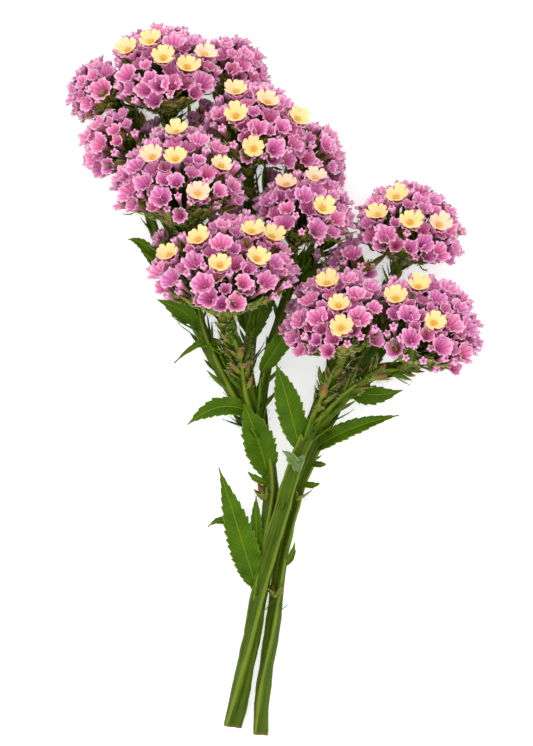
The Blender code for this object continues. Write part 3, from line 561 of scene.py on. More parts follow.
def leaf_green(name, dark, mid, vein, rim):
    """Statice leaf: a satin green blade with pale sunken veins, and a dry pale edge."""
    finish, tree, shader = new_finish(name, Roughness=0.5, Specular_IOR_Level=0.1)
    mark = add(tree, "ShaderNodeAttribute", attribute_name="blade")
    apart = add(tree, "ShaderNodeSeparateXYZ", {0: mark.outputs["Vector"]})
    out = add(tree, "ShaderNodeMath", {0: apart.outputs[0]}, operation="ABSOLUTE")
    # Side veins leave the midrib every 2.6 mm and run forward
    wide = add(tree, "ShaderNodeMath", {0: out.outputs[0], 1: apart.outputs[2]}, operation="MULTIPLY")
    back = add(tree, "ShaderNodeMath", {0: wide.outputs[0], 1: -0.9, 2: apart.outputs[1]},
               operation="MULTIPLY_ADD")
    place = add(tree, "ShaderNodeTexCoord")
    patch = add(tree, "ShaderNodeTexNoise",
                {"Vector": place.outputs["Object"], "Scale": 110.0, "Detail": 3.0})
    bent = add(tree, "ShaderNodeMath", {0: patch.outputs[0], 1: 4.5, 2: back.outputs[0]},
               operation="MULTIPLY_ADD")
    saw = add(tree, "ShaderNodeMath", {0: bent.outputs[0], 1: 1.3}, operation="PINGPONG")
    side = add(tree, "ShaderNodeMapRange", {0: saw.outputs[0], 1: 0.0, 2: 0.25, 3: 0.16, 4: 0.0})
    rib = add(tree, "ShaderNodeMapRange", {0: wide.outputs[0], 1: 0.0, 2: 0.32, 3: 0.7, 4: 0.0})
    veins = add(tree, "ShaderNodeMath", {0: side.outputs[0], 1: rib.outputs[0]}, operation="MAXIMUM")
    base = add(tree, "ShaderNodeMix", {0: patch.outputs[0], 6: linear(dark), 7: linear(mid)},
               data_type="RGBA")
    veined = add(tree, "ShaderNodeMix", {0: veins.outputs[0], 6: base.outputs[2], 7: linear(vein)},
                 data_type="RGBA")
    border = add(tree, "ShaderNodeMapRange", {0: out.outputs[0], 1: 0.9, 2: 1.0, 3: 0.0, 4: 0.6})
    rimmed = add(tree, "ShaderNodeMix", {0: border.outputs[0], 6: veined.outputs[2], 7: linear(rim)},
                 data_type="RGBA")
    tree.links.new(rimmed.outputs[2], shader.inputs["Base Color"])
    sunk = add(tree, "ShaderNodeMath", {0: 1.0, 1: veins.outputs[0]}, operation="SUBTRACT")
    bump = add(tree, "ShaderNodeBump", {"Strength": 0.5, "Distance": 0.0005, "Height": sunk.outputs[0]})
    tree.links.new(bump.outputs[0], shader.inputs["Normal"])
    return finish


leaf_skin = leaf_green("satin_green_leaf", "#264200", "#4E7000", "#8C9C1C", "#7C921C")
for stem in ("front_stem", "back_stem"):
    blades = [blade(leaf, n) for n, leaf in enumerate(LEAVES) if leaf.stem == stem]
    finished(thickened(f"{stem}_leaves", blades, LEAF_THICKNESS, leaf_skin), "stem_green", stem)

# The crumpled bract is two small blades from one foot, waved far more than a leaf
CRUMPLED = (
    Leaf("front_stem", (10.8, -43.5, 19.5), (9.5, -38.5, 24.5), (4.0, -34.0, 24.0), 2.7, (0.2, -0.5, 1)),
    Leaf("front_stem", (10.2, -44.5, 19.5), (12.5, -39.5, 24.5), (14.5, -36.0, 25.0), 2.2, (-0.5, -0.3, 1)),
)
CRUMPLED_WAVINESS = 0.9
CRUMPLED_SEED = 60
bract_paper = leaf_green("dried_pale_bract", "#3F5F2C", "#7F9858", "#9AA866", "#A9B47C")
blades = [blade(leaf, CRUMPLED_SEED + n, CRUMPLED_WAVINESS) for n, leaf in enumerate(CRUMPLED)]
piece = thickened("front_stem_crumpled_bract", blades, LEAF_THICKNESS, bract_paper)
finished(piece, "stem_green", "front_stem")

# Where the florets of a head stand
# Each dome carries calyxes, buds and open flowers. They stand where the solid's florets do, by the
# same rule and the same draws. Smaller ones fill what gaps are left, and side shoots end in buds.

TABLE_CUT = 1.0
GOLDEN_ANGLE = math.radians(137.508)
RIM_RADIUS = 4.3
MOUTH_DEPTH = 4.8
BUD_RADIUS = 2.0
FLORET_SPACING = 10.3
BUD_SPACING = 8.4
FLORET_CANDIDATES = 420
DOME_UNEVENNESS = (-0.05, 0.03)
UPRIGHT = 0.7
WANDER = 0.08
OPEN_LIFT = 1.2

Floret = namedtuple("Floret", "middle facing kind size root", defaults=(None,))


def distance_to_route(point, route):
    least = math.inf
    for a, b in zip(route, route[1:]):
        run = b - a
        share = min(1, max(0, (point - a).dot(run) / run.length_squared))
        least = min(least, (point - a - run * share).length)
    return least


def cap_directions(head, count, spread):
    """Evenly spread bearings within the head's spread, on a golden-angle spiral from its axis."""
    depth = 1 - math.cos(math.radians(spread))
    turn = head_axis(head).to_track_quat("Z", "Y")
    for n in range(count):
        height = 1 - depth * (n + 0.5) / count
        flat = math.sqrt(1 - height * height)
        around = n * GOLDEN_ANGLE
        yield turn @ Vector((flat * math.cos(around), flat * math.sin(around), height))


def side_of_neighbours(head, middle, facing, reach):
    """Whether a disc of radius reach keeps to this head's side of every neighbouring head."""
    for other in HEADS:
        if other is head:
            continue
        gap = Vector(other.place) - Vector(head.place)
        if gap.length > head.radius + other.radius + 2 * reach:
            continue
        along = gap.normalized()
        plane = (gap.length_squared + head.radius**2 - other.radius**2) / (2 * gap.length)
        out = (middle - Vector(head.place)).dot(along)
        if out + reach * math.sqrt(max(0, 1 - facing.dot(along) ** 2)) + CLEARANCE > plane:
            return False
    return True


def has_room(head, middle, facing, reach):
    """Whether a disc of radius reach clears the neighbouring heads, the branches and the table."""
    lowest = middle.z - reach * math.sqrt(max(0, 1 - facing.z**2))
    if lowest < -TABLE_CUT or not side_of_neighbours(head, middle, facing, reach):
        return False
    for branch in BRANCHES:
        own = branch.head == head.name
        route = [Vector(p) for p in branch.route] if own else full_route(branch)
        for point, width in ((middle, reach), (middle - facing * MOUTH_DEPTH, reach / 2)):
            if distance_to_route(point, route) < width + branch.girth[0] + CLEARANCE:
                return False
    return True


def crowding(place, found):
    gaps = sorted((place.middle - f.middle).length for f in found)
    return sum(gaps[:2])


def florets_of(head):
    """The florets that the head's solid has: open flowers, calyxes, and buds where those don't fit."""
    rng = random.Random(HEADS.index(head))
    axis, centre = head_axis(head), Vector(head.place)
    bearings = []
    for across, along in head.open_flowers:
        up = math.sqrt(max(0, head.radius**2 - across**2 - along**2))
        bearings.append((Vector((across, along, up)).normalized(), "open"))
    bearings.extend((bearing, "calyx") for bearing in cap_directions(head, FLORET_CANDIDATES, head.spread))
    places = []
    for bearing, kind in bearings:
        out = head.radius * (1 + rng.uniform(*DOME_UNEVENNESS)) + OPEN_LIFT * (kind == "open")
        wander = Vector([rng.uniform(-WANDER, WANDER) for _ in range(3)])
        facing = (bearing + UPRIGHT * axis + wander).normalized()
        middle = centre + bearing * out
        if has_room(head, middle, facing, RIM_RADIUS):
            places.append(Floret(middle, facing, kind, 1.0))
        elif has_room(head, middle, facing, BUD_RADIUS):
            places.append(Floret(middle, facing, "bud", 1.0))
    order = ("open", "calyx", "bud")
    found = []
    while places:
        nearest = min(places, key=lambda p: (order.index(p.kind), crowding(p, found)))
        found.append(nearest)
        places = [p for p in places if (p.middle - nearest.middle).length
                  > (BUD_SPACING if "bud" in (p.kind, nearest.kind) else FLORET_SPACING)]
    return found


FILLER_CANDIDATES = 900
FILLER_SPREAD = 14  # degrees past the head's own spread
WIDEST_SPREAD = 105
FILLER_DEPTHS = (0.87, 0.98)  # of the head's radius
FILLER_WANDER = 0.18
FILLER_SIZES = (0.84, 1.0)
FILLER_GAP = 5.7  # from a floret of the solid's
SMALL_GAP = 6.3  # between two small ones
LOWEST_FILLER = 3  # above the table
UNDERSIDE = 0.35  # cosine of the turn from the head's axis at which its edge begins
BUDS_AT_EDGE, BUDS_ELSEWHERE = 0.5, 0.12  # share of the small ones that are buds


def fillers_of(head, florets):
    """Smaller calyxes and buds in the gaps, standing a little lower."""
    rng = random.Random(300 + HEADS.index(head))
    axis, centre = head_axis(head), Vector(head.place)
    found = []
    spread = min(WIDEST_SPREAD, head.spread + FILLER_SPREAD)
    for bearing in cap_directions(head, FILLER_CANDIDATES, spread):
        middle = centre + bearing * head.radius * rng.uniform(*FILLER_DEPTHS)
        wander = Vector([rng.uniform(-FILLER_WANDER, FILLER_WANDER) for _ in range(3)])
        facing = (bearing + UPRIGHT * axis + wander).normalized()
        size = rng.uniform(*FILLER_SIZES)
        gap = min((middle - f.middle).length for f in florets)
        if gap < FILLER_GAP or not has_room(head, middle, facing, BUD_RADIUS) or middle.z < LOWEST_FILLER:
            continue
        if any((middle - f.middle).length < SMALL_GAP for f in found):
            continue
        buds = BUDS_AT_EDGE if bearing.dot(axis) < UNDERSIDE else BUDS_ELSEWHERE
        kind = "bud" if rng.random() < buds else "calyx"
        found.append(Floret(middle, facing, kind, size))
    return found


# Side shoots end in tufts of buds, in the gaps between heads: the head whose branch carries each, where
# its stalks leave the branch, and the middle of its tuft
SHOOTS = (
    ("crown_head", (-50.5, 99.0, 7), (-39.0, 121.0, 9)),
    ("crown_head", (-50.2, 93.0, 7), (-58.5, 118.0, 9)),
    ("upper_head", (-10.5, 78.0, 10), (-1.5, 94.0, 12)),
    ("upper_head", (-10.6, 64.0, 11), (-18.5, 77.0, 13)),
    ("middle_head", (6.0, 41.0, 15), (19.5, 55.0, 16)),
    ("middle_head", (9.0, 52.0, 14), (28.5, 68.0, 10)),
    ("centre_left_head", (-39.5, 48.0, 17), (-52.0, 64.0, 16)),
    ("centre_left_head", (-40.5, 54.0, 19), (-30.0, 73.0, 13)),
    ("crown_head", (-51.0, 106.0, 7), (-35.0, 127.0, 8)),
)
TUFT = 6  # buds
TUFT_RADIUS = 7.0
TUFT_GAP = 5.5  # from any floret of a dome
TUFT_SPREAD = 0.75  # sideways, for each length ahead
TUFT_RISE = Vector((0, 0.2, 0.35))  # how a tuft turns up and towards the flowers
TUFT_UNEVENNESS = (0.85, 1.2)
LOWEST_TUFT = 2.5  # above the table
SHOOT_FLORET_SIZES = (0.85, 1.05)


def shoot_florets(name, domes):
    """The buds and narrow calyxes of a head's side shoots."""
    found = []
    for number, (_, root, tip) in enumerate(s for s in SHOOTS if s[0] == name):
        rng = random.Random(f"{name} {number}")
        root, tip = Vector(root), Vector(tip)
        ahead = (tip - root).normalized() + TUFT_RISE
        upright = ahead.to_track_quat("Z", "Y")
        for n in range(TUFT):
            out = TUFT_SPREAD * math.sqrt((n + 0.5) / TUFT)
            side = Vector((out * math.cos(n * GOLDEN_ANGLE), out * math.sin(n * GOLDEN_ANGLE), 1))
            facing = (upright @ side).normalized()
            middle = tip + facing * TUFT_RADIUS * rng.uniform(*TUFT_UNEVENNESS)
            if middle.z > LOWEST_TUFT and min((middle - f.middle).length for f in domes) > TUFT_GAP:
                kind = rng.choice(("bud", "narrow"))
                found.append(Floret(middle, facing, kind, rng.uniform(*SHOOT_FLORET_SIZES), root))
    return found


all_florets = {}
for head in HEADS:
    own = florets_of(head)
    all_florets[head.name] = own + fillers_of(head, own)
every_floret = [floret for florets in all_florets.values() for floret in florets]
for head in HEADS:
    all_florets[head.name] += shoot_florets(head.name, every_floret)

# Calyxes
# The papery mauve funnel that gives statice its colour and keeps it when dry. It has ten pleats in
# five lobes, a crimped rim, painted shade down its creases and throat, and a thin brown-green tube below.

FLARE_DEPTH = 6.4
FLORET_FOOT = 9.6
TUBE_RADIUS = 0.85
WALL = 0.22
CALYX_SEGMENTS = 40
SMALL_SEGMENTS = 30
BUD_SEGMENTS = 20


def turned_shape(name, profile, segments, collection, marks):
    """A closed shape through rings of points. profile gives each ring's function of the bearing."""
    points, faces, layers = [], [], {label: [] for label in marks}
    for ring_number, ring in enumerate(profile):
        for n in range(segments):
            points.append(ring(math.tau * n / segments, n) * MM)
            for label, rule in marks.items():
                layers[label].append(rule(ring_number, n))
    for r in range(len(profile) - 1):
        for n in range(segments):
            after = (n + 1) % segments
            a, b = r * segments, (r + 1) * segments
            faces.append((a + n, a + after, b + after, b + n))
    faces.append(tuple(reversed(range(segments))))
    last = (len(profile) - 1) * segments
    faces.append(tuple(last + n for n in range(segments)))
    mesh = bpy.data.meshes.new(name)
    mesh.from_pydata(points, [], faces)
    for label, values in layers.items():
        mesh.attributes.new(label, "FLOAT", "POINT").data.foreach_set("value", values)
    new_object(name, mesh, collection)


def tube(radius, height):
    """A round ring of a turned shape."""
    return lambda turn, n: Vector((radius * math.cos(turn), radius * math.sin(turn), height))


def calyx_shape(name, seed, mouth, crimp, segments, collection, flare):
    """A crimped funnel with the middle of its rim at the origin, and its inner wall."""
    rng = random.Random(seed)
    slants = [(rng.uniform(-0.07, 0.07), rng.uniform(0, math.tau)) for _ in range(3)]
    teeth = [rng.uniform(-1, 1) for _ in range(segments)]
    folds = [rng.uniform(0.5, 1.4) for _ in range(10)]
    lobes = rng.uniform(0, math.tau)

    def wave(turn):
        return folds[int(turn / math.tau * 10) % 10] * math.cos(10 * turn)

    def wall(share, inner):
        def at(turn, n):
            slant = sum(a * math.cos((k + 1) * turn + b) for k, (a, b) in enumerate(slants))
            lobe = math.cos(5 * turn + lobes)
            scallop = abs(math.cos((5 * turn + lobes) / 2)) ** 0.7 - 0.7
            radius = TUBE_RADIUS + (mouth - TUBE_RADIUS) * (flare * share + (1 - flare) * share**4)
            radius *= 1 + crimp * (0.055 * wave(turn) + 0.13 * scallop) * share**1.3 + slant * share
            radius += 0.16 * teeth[n] * share**6 - inner * WALL
            height = -FLARE_DEPTH * (1 - share) + share**4 * (
                0.45 * lobe + 0.55 * wave(turn + 0.25) + 0.34 * teeth[n] + 4 * slant)
            return Vector((radius * math.cos(turn), radius * math.sin(turn), height))
        return at

    outer, inner = (0.0, 0.4, 0.78, 1.0), (0.985, 0.7, 0.3)
    profile = [tube(TUBE_RADIUS * 0.8, -FLORET_FOOT), tube(TUBE_RADIUS * 1.1, -FLARE_DEPTH - 1.2)]
    profile.extend(wall(share, 0) for share in outer)
    profile.extend(wall(share, 1) for share in inner)
    profile.append(tube(0.25, -FLARE_DEPTH * 0.93))
    heights = [-1.0, -0.3, *outer, *inner, 0.0]
    inside = [0.0] * (2 + len(outer)) + [1.0] * (len(inner) + 1)
    fold = [wave(math.tau * n / segments) for n in range(segments)]
    turned_shape(name, profile, segments, collection, {
        "up": lambda ring, n: heights[ring],
        "inside": lambda ring, n: inside[ring],
        "fold": lambda ring, n: fold[n]})


def bud_shape(name, seed, collection):
    """A calyx still closed: a ribbed tube with its lobes drawn together in a crimped tip."""
    rng = random.Random(seed)
    slant = rng.uniform(-0.4, 0.4)
    profile_sizes = ((0.65, -FLORET_FOOT), (0.85, -6.5), (0.95, -4.2), (1.35, -2.0), (1.85, 0.2),
                     (1.75, 1.1), (0.9, 1.5), (0.35, 0.6))
    depths = (0, 0, 0.05, 0.14, 0.2, 0.26, 0.3, 0.1)
    marks = (-1.0, -0.4, -0.15, 0.45, 0.85, 1.0, 0.9, 0.4)

    def at(radius, height, depth):
        def place(turn, n):
            wide = radius * (1 + depth * math.cos(5 * turn))
            return Vector((wide * math.cos(turn), wide * math.sin(turn),
                           height + slant * depth * math.cos(turn) + depth * math.cos(5 * turn)))
        return place

    profile = [at(r, z, d) for (r, z), d in zip(profile_sizes, depths)]
    turned_shape(name, profile, BUD_SEGMENTS, collection, {
        "up": lambda ring, n: marks[ring],
        "inside": lambda ring, n: 1.0 if ring > 5 else 0.0,
        "fold": lambda ring, n: math.cos(5 * math.tau * n / BUD_SEGMENTS)})


def planting_tree():
    """Puts one of a collection's shapes at every point, turned and sized as the point's marks say."""
    tree, given = new_tree("planted_on_a_head", (("Shapes", "Collection"), ("Seed", "Int")))
    read = {}
    for label, kind in (("facing", "FLOAT_VECTOR"), ("outward", "FLOAT_VECTOR"), ("size", "FLOAT"),
                        ("kind", "FLOAT")):
        node = add(tree, "GeometryNodeInputNamedAttribute", {"Name": label}, data_type=kind)
        read[label] = node.outputs["Attribute"]
    shapes = add(tree, "GeometryNodeCollectionInfo",
                 {"Collection": given["Shapes"], "Separate Children": True, "Reset Children": True})
    upright = add(tree, "FunctionNodeAlignRotationToVector", {"Vector": read["facing"]}, axis="Z")
    turned = add(tree, "FunctionNodeAlignRotationToVector",
                 {"Rotation": upright.outputs[0], "Vector": read["outward"]}, axis="X", pivot_axis="Z")
    which = add(tree, "FunctionNodeFloatToInt", {0: read["kind"]}, rounding_mode="ROUND")
    planted = add(tree, "GeometryNodeInstanceOnPoints",
                  {"Points": given["Geometry"], "Instance": shapes.outputs[0], "Pick Instance": True,
                   "Instance Index": which.outputs[0], "Rotation": turned.outputs[0],
                   "Scale": read["size"]})
    chance = add(tree, "FunctionNodeRandomValue", {"Seed": given["Seed"]}, data_type="FLOAT")
    tinted = add(tree, "GeometryNodeStoreNamedAttribute",
                 {"Geometry": planted.outputs[0], "Name": "tint", "Value": chance.outputs[1]},
                 data_type="FLOAT", domain="INSTANCE")
    end_tree(tree, tinted.outputs[0], given)
    return tree


def beside(ahead, turn):
    """A direction square to ahead, turned round it."""
    side = ahead.orthogonal()
    side.rotate(Matrix.Rotation(turn, 3, ahead))
    return side


def planted(name, spots, shapes, seed, finish):
    """A piece with a shape at every spot. A spot is (place, facing, outward, size, number of shape)."""
    source = wire(name, [s[0] for s in spots], facing=[s[1] for s in spots], outward=[s[2] for s in spots],
                  size=[s[3] for s in spots], kind=[float(s[4]) for s in spots])
    return grown(planting, source, Shapes=shapes, Seed=seed, Material=finish)


def papery_calyx():
    """Dry papery calyx: matt mauve, pale and crimped at the rim, with painted shade down the throat and the
    pleats' creases.
    """
    finish, tree, shader = new_finish("papery_mauve_calyx", Roughness=0.62, Subsurface_Weight=0.18)
    shader.inputs["Subsurface Radius"].default_value = (0.0022, 0.0008, 0.0016)
    shader.inputs["Sheen Weight"].default_value = 0.12
    up, inside, fold, tint = (add(tree, "ShaderNodeAttribute", attribute_name=label)
                              for label in ("up", "inside", "fold", "tint"))

    def shades(stops):
        ramp = add(tree, "ShaderNodeValToRGB", {0: share.outputs[0]})
        for n, (place, code) in enumerate(stops):
            stop = ramp.color_ramp.elements[n] if n < 2 else ramp.color_ramp.elements.new(place)
            stop.position = place
            stop.color = linear(code)
        return ramp.outputs[0]

    share = add(tree, "ShaderNodeMapRange", {0: up.outputs["Fac"], 1: -1.0, 2: 1.0})
    outer = shades(((0.0, "#66652A"), (0.38, "#86653A"), (0.53, "#A65F56"), (0.68, "#C8669A"),
                    (0.86, "#E490BE"), (1.0, "#FBC4DE")))
    # Inside, the wall darkens from its pale rim to deep magenta down the throat: painted shade in the recess
    inner = shades(((0.0, "#7A2252"), (0.5, "#923068"), (0.62, "#B44A88"), (0.78, "#D268A2"),
                    (0.93, "#E78CBC"), (1.0, "#FCC6E0")))
    colour = add(tree, "ShaderNodeMix", {0: inside.outputs["Fac"], 6: outer, 7: inner}, data_type="RGBA")
    # Painted shade darkens the paper down the inward creases of the pleats
    crease_shade_mask = add(tree, "ShaderNodeMapRange", {0: fold.outputs["Fac"], 1: -1.1, 2: 0.6, 3: 0.5, 4: 0.0})
    ribbed = add(tree, "ShaderNodeMix", {0: crease_shade_mask.outputs[0], 6: colour.outputs[2], 7: linear("#8E2F68")},
                 data_type="RGBA")
    hue = add(tree, "ShaderNodeMapRange", {0: tint.outputs["Fac"], 3: 0.485, 4: 0.512})
    value = add(tree, "ShaderNodeMapRange", {0: tint.outputs["Fac"], 3: 0.93, 4: 1.12})
    varied = add(tree, "ShaderNodeHueSaturation",
                 {"Hue": hue.outputs[0], "Value": value.outputs[0], "Color": ribbed.outputs[2]})
    tree.links.new(varied.outputs[0], shader.inputs["Base Color"])
    place = add(tree, "ShaderNodeTexCoord")
    grain = add(tree, "ShaderNodeTexNoise", {"Vector": place.outputs["Object"], "Scale": 900.0})
    bump = add(tree, "ShaderNodeBump", {"Strength": 0.2, "Distance": 0.0003, "Height": grain.outputs[0]})
    tree.links.new(bump.outputs[0], shader.inputs["Normal"])
    return finish


planting = planting_tree()
calyx_paper = papery_calyx()
calyx_shapes = bpy.data.collections.new("calyx_shapes")
# Each kind has its sides, how evenly it opens, and the mouth's radius and crimping of its calyxes
CALYX_KINDS = {
    "open": (CALYX_SEGMENTS, 0.72, ((5.1, 1.0), (4.9, 1.2), (4.7, 1.4), (5.2, 1.1), (4.5, 1.5), (5.0, 1.3))),
    "small": (SMALL_SEGMENTS, 0.72, ((5.0, 1.2), (4.7, 1.5), (5.2, 1.3), (4.4, 1.7), (4.8, 1.4))),
    "narrow": (SMALL_SEGMENTS, 0.6, ((3.6, 1.7), (3.2, 2.0), (4.0, 1.6))),
}
BUDS = 3
BUD_SEED = 40
# In these heads most of the calyxes haven't opened wide
BUDDING = ("far_left_head", "top_back_head", "upper_side_head", "bud_head", "left_head")
NARROW_IN_BUDDING, NARROW_ELSEWHERE = 0.75, 0.2
FULL_SIZES = (1.0, 1.12)
kinds = {}
for kind, (segments, flare, sizes) in CALYX_KINDS.items():
    kinds[kind] = []
    for mouth, crimp in sizes:
        number = len(calyx_shapes.objects)
        calyx_shape(f"calyx_{number:02d}", number, mouth, crimp, segments, calyx_shapes, flare)
        kinds[kind].append(number)
kinds["bud"] = []
for n in range(BUDS):
    number = len(calyx_shapes.objects)
    bud_shape(f"calyx_{number:02d}", BUD_SEED + n, calyx_shapes)
    kinds["bud"].append(number)

for head in HEADS:
    rng = random.Random(100 + HEADS.index(head))
    spots = []
    for floret in all_florets[head.name]:
        outward = beside(floret.facing, rng.uniform(0, math.tau))
        kind, size = "open", rng.uniform(*FULL_SIZES)
        if rng.random() < (NARROW_IN_BUDDING if head.name in BUDDING else NARROW_ELSEWHERE):
            kind = "narrow"
        if floret.kind == "bud" or floret.size < 1:
            kind, size = rng.choice(("small", "narrow")), floret.size
        if floret.kind in ("bud", "narrow"):
            kind, size = floret.kind, floret.size
        spots.append((floret.middle, floret.facing, outward, size, rng.choice(kinds[kind])))
    piece = planted(f"{head.name}_calyxes", spots, calyx_shapes, HEADS.index(head), calyx_paper)
    finished(piece, "calyx_mauve", head.name)

# Open flowers
# A pale yellow corolla stands in some of the calyxes: five notched petals in a cup, a deeper yellow
# throat, partly the petal's own colour and partly painted shade, and five anthers. A few are flushed
# pink. Other calyxes keep the dry tip of a spent one.

PETALS = 5
PETAL_SEGMENTS = 60
COROLLA_RADIUS = 5.5
COROLLA_BASE = -3.2
COROLLA_RISE = 6.0  # of a petal's tip over that base
NOTCH = 0.08


def corolla_shape(name, seed, collection):
    rng = random.Random(seed)
    lengths = [rng.uniform(0.92, 1.08) for _ in range(PETALS)]
    cups = [rng.uniform(0.85, 1.2) for _ in range(PETALS)]

    def surface(share, under):
        def at(turn, n):
            petal = int(turn / (math.tau / PETALS)) % PETALS
            off = abs((turn / (math.tau / PETALS)) % 1 - 0.5) * 2
            notch = NOTCH * math.exp(-((off / 0.2) ** 2))
            reach = 0.70 + 0.30 * math.sqrt(max(0, 1 - off**4)) - notch
            radius = COROLLA_RADIUS * lengths[petal] * reach * share
            rise = COROLLA_RISE * cups[petal] * (radius / COROLLA_RADIUS) ** 1.1
            height = COROLLA_BASE + rise - 0.8 * share**6
            height += 0.35 * share * (1 - off) * (0.5 - under) - under * 0.22
            return Vector((radius * math.cos(turn), radius * math.sin(turn), height))
        return at

    shares = (0.34, 0.55, 0.78, 0.93, 1.0)
    profile = [tube(0.5, -5.5), tube(0.7, -2.6)]
    profile.extend(surface(share, 1) for share in shares)
    upper_shares = tuple(reversed((0.12, 0.22, *shares[:-1], 0.99)))
    profile.extend(surface(share, 0) for share in upper_shares)
    heights = [-0.6, 0.0, *shares, *upper_shares]

    def fold(ring, n):
        return abs((n / PETAL_SEGMENTS * PETALS) % 1 - 0.5) * 2

    turned_shape(name, profile, PETAL_SEGMENTS, collection,
                 {"up": lambda ring, n: heights[ring], "fold": fold})


def petal_yellow():
    """Fresh petal: thin, silky and nearly see-through, cream yellow with a deeper yellow throat, partly
    painted shade.
    """
    finish, tree, shader = new_finish("silky_yellow_petal", Roughness=0.5, Subsurface_Weight=0.25)
    shader.inputs["Subsurface Radius"].default_value = (0.002, 0.0016, 0.0006)
    up, fold, tint = (add(tree, "ShaderNodeAttribute", attribute_name=label)
                      for label in ("up", "fold", "tint"))
    # The throat's deeper yellow is partly the petal's own and partly painted shade in its hollow
    throat = add(tree, "ShaderNodeMapRange", {0: up.outputs["Fac"], 1: 0.12, 2: 0.42, 3: 1.0, 4: 0.0})
    flush = add(tree, "ShaderNodeMapRange", {0: tint.outputs["Fac"], 1: 0.72, 2: 0.86, 3: 0.0, 4: 0.8})
    body = add(tree, "ShaderNodeMix", {0: flush.outputs[0], 6: linear("#EDD596"), 7: linear("#F1CDB8")},
               data_type="RGBA")
    vein = add(tree, "ShaderNodeMapRange", {0: fold.outputs["Fac"], 1: 0.0, 2: 0.16, 3: 0.35, 4: 0.0})
    veined = add(tree, "ShaderNodeMix", {0: vein.outputs[0], 6: body.outputs[2], 7: linear("#E6C26E")},
                 data_type="RGBA")
    deep = add(tree, "ShaderNodeMix", {0: throat.outputs[0], 6: veined.outputs[2], 7: linear("#E2B02C")},
               data_type="RGBA")
    tree.links.new(deep.outputs[2], shader.inputs["Base Color"])
    return finish


def anther_shape(name, seed, count, ring, collection):
    """Anthers round a throat, or with a count of one the dry tip of a spent corolla."""
    rng = random.Random(seed)
    bm = bmesh.new()
    for n in range(count):
        turn = math.tau * (n + 0.3) / count
        made = bmesh.ops.create_icosphere(bm, subdivisions=1, radius=rng.uniform(0.32, 0.45) * MM)
        place = Vector((ring * math.cos(turn), ring * math.sin(turn), rng.uniform(-0.9, -0.4)))
        if count == 1:
            place = Vector((0, 0, -3.4))
            bmesh.ops.scale(bm, vec=(1, 1, 2.6), verts=made["verts"])
        bmesh.ops.translate(bm, vec=place * MM, verts=made["verts"])
    new_object(name, mesh_from(bm, name), collection)


def pollen_orange():
    """Anthers and spent corollas: matt, dusty yellow to orange."""
    finish, tree, shader = new_finish("dusty_pollen", Roughness=0.8)
    tint = add(tree, "ShaderNodeAttribute", attribute_name="tint")
    colour = add(tree, "ShaderNodeMix", {0: tint.outputs["Fac"], 6: linear("#E2B82E"), 7: linear("#DC9C38")},
                 data_type="RGBA")
    tree.links.new(colour.outputs[2], shader.inputs["Base Color"])
    return finish


petal_silk, pollen = petal_yellow(), pollen_orange()
corolla_shapes, anther_shapes = (bpy.data.collections.new(n) for n in ("corolla_shapes", "anther_shapes"))
COROLLA_SHAPES = 4
ANTHERS, SPENT_TIP = range(2)  # the numbers of the shapes
ANTHER_RING = 1.0
COROLLA_LIFT = 0.9  # out of the calyx
COROLLA_TILT = Vector((0, 0.25, 0.5))  # open flowers turn up, towards the light
COROLLA_SIZES = (0.95, 1.05)
SPENT_SHARE = 0.75  # of the calyxes that keep the tip of a spent flower
COROLLA_SEED = 7
for n in range(COROLLA_SHAPES):
    corolla_shape(f"corolla_{n}", n, corolla_shapes)
anther_shape("anthers_0", ANTHERS, 5, ANTHER_RING, anther_shapes)
anther_shape("anthers_1", SPENT_TIP, 1, 0, anther_shapes)

for head in HEADS:
    rng = random.Random(400 + HEADS.index(head))
    open_spots, dots = [], []
    for floret in all_florets[head.name]:
        outward = beside(floret.facing, rng.uniform(0, math.tau))
        if floret.kind == "open":
            facing = (floret.facing + COROLLA_TILT).normalized()
            place = floret.middle + floret.facing * COROLLA_LIFT
            size, number = rng.uniform(*COROLLA_SIZES), rng.randrange(COROLLA_SHAPES)
            open_spots.append((place, facing, outward, size, number))
            dots.append((place, facing, outward, 1.0, ANTHERS))
        elif floret.kind == "calyx" and rng.random() < SPENT_SHARE:
            dots.append((floret.middle, floret.facing, outward, floret.size, SPENT_TIP))
    if open_spots:
        seed = HEADS.index(head) + COROLLA_SEED
        piece = planted(f"{head.name}_corollas", open_spots, corolla_shapes, seed, petal_silk)
        finished(piece, "calyx_mauve", head.name)
    if dots:
        piece = planted(f"{head.name}_anthers", dots, anther_shapes, HEADS.index(head), pollen)
        finished(piece, "calyx_mauve", head.name)

# Stalks and bracts
# Inside a head the branch splits into thin stalks, one to a floret, and green hairy bracts with
# red-brown tips sheathe each floret's foot and hang round the head's underside.

STALK_STEP = 4.2
STALK_GIRTH = 1.25  # at its foot
STALK_TAPER = 0.65  # less than that under the floret
STALK_SIDES, STALK_VALLEY = 4, 0.7
BRACT_SECTIONS = 5
HAIR_WIDTH = 0.13


def stalk(head, floret):
    """Where a floret's stalk runs, from the head's neck or its shoot's root to the floret's foot."""
    start, leaving = (neck(head), head_axis(head)) if floret.root is None else (floret.root, floret.facing)
    end = floret.middle - floret.facing * FLORET_FOOT * floret.size * 0.9
    pull = 0.45 * (end - start).length
    a, b = start + leaving * pull, end - floret.facing * pull
    count = max(4, round((end - start).length / STALK_STEP))
    route = []
    for n in range(count + 1):
        t = n / count
        point = (1 - t)**3 * start + 3 * t * (1 - t)**2 * a + 3 * t**2 * (1 - t) * b + t**3 * end
        route.append((point, STALK_GIRTH - STALK_TAPER * t))
    return route


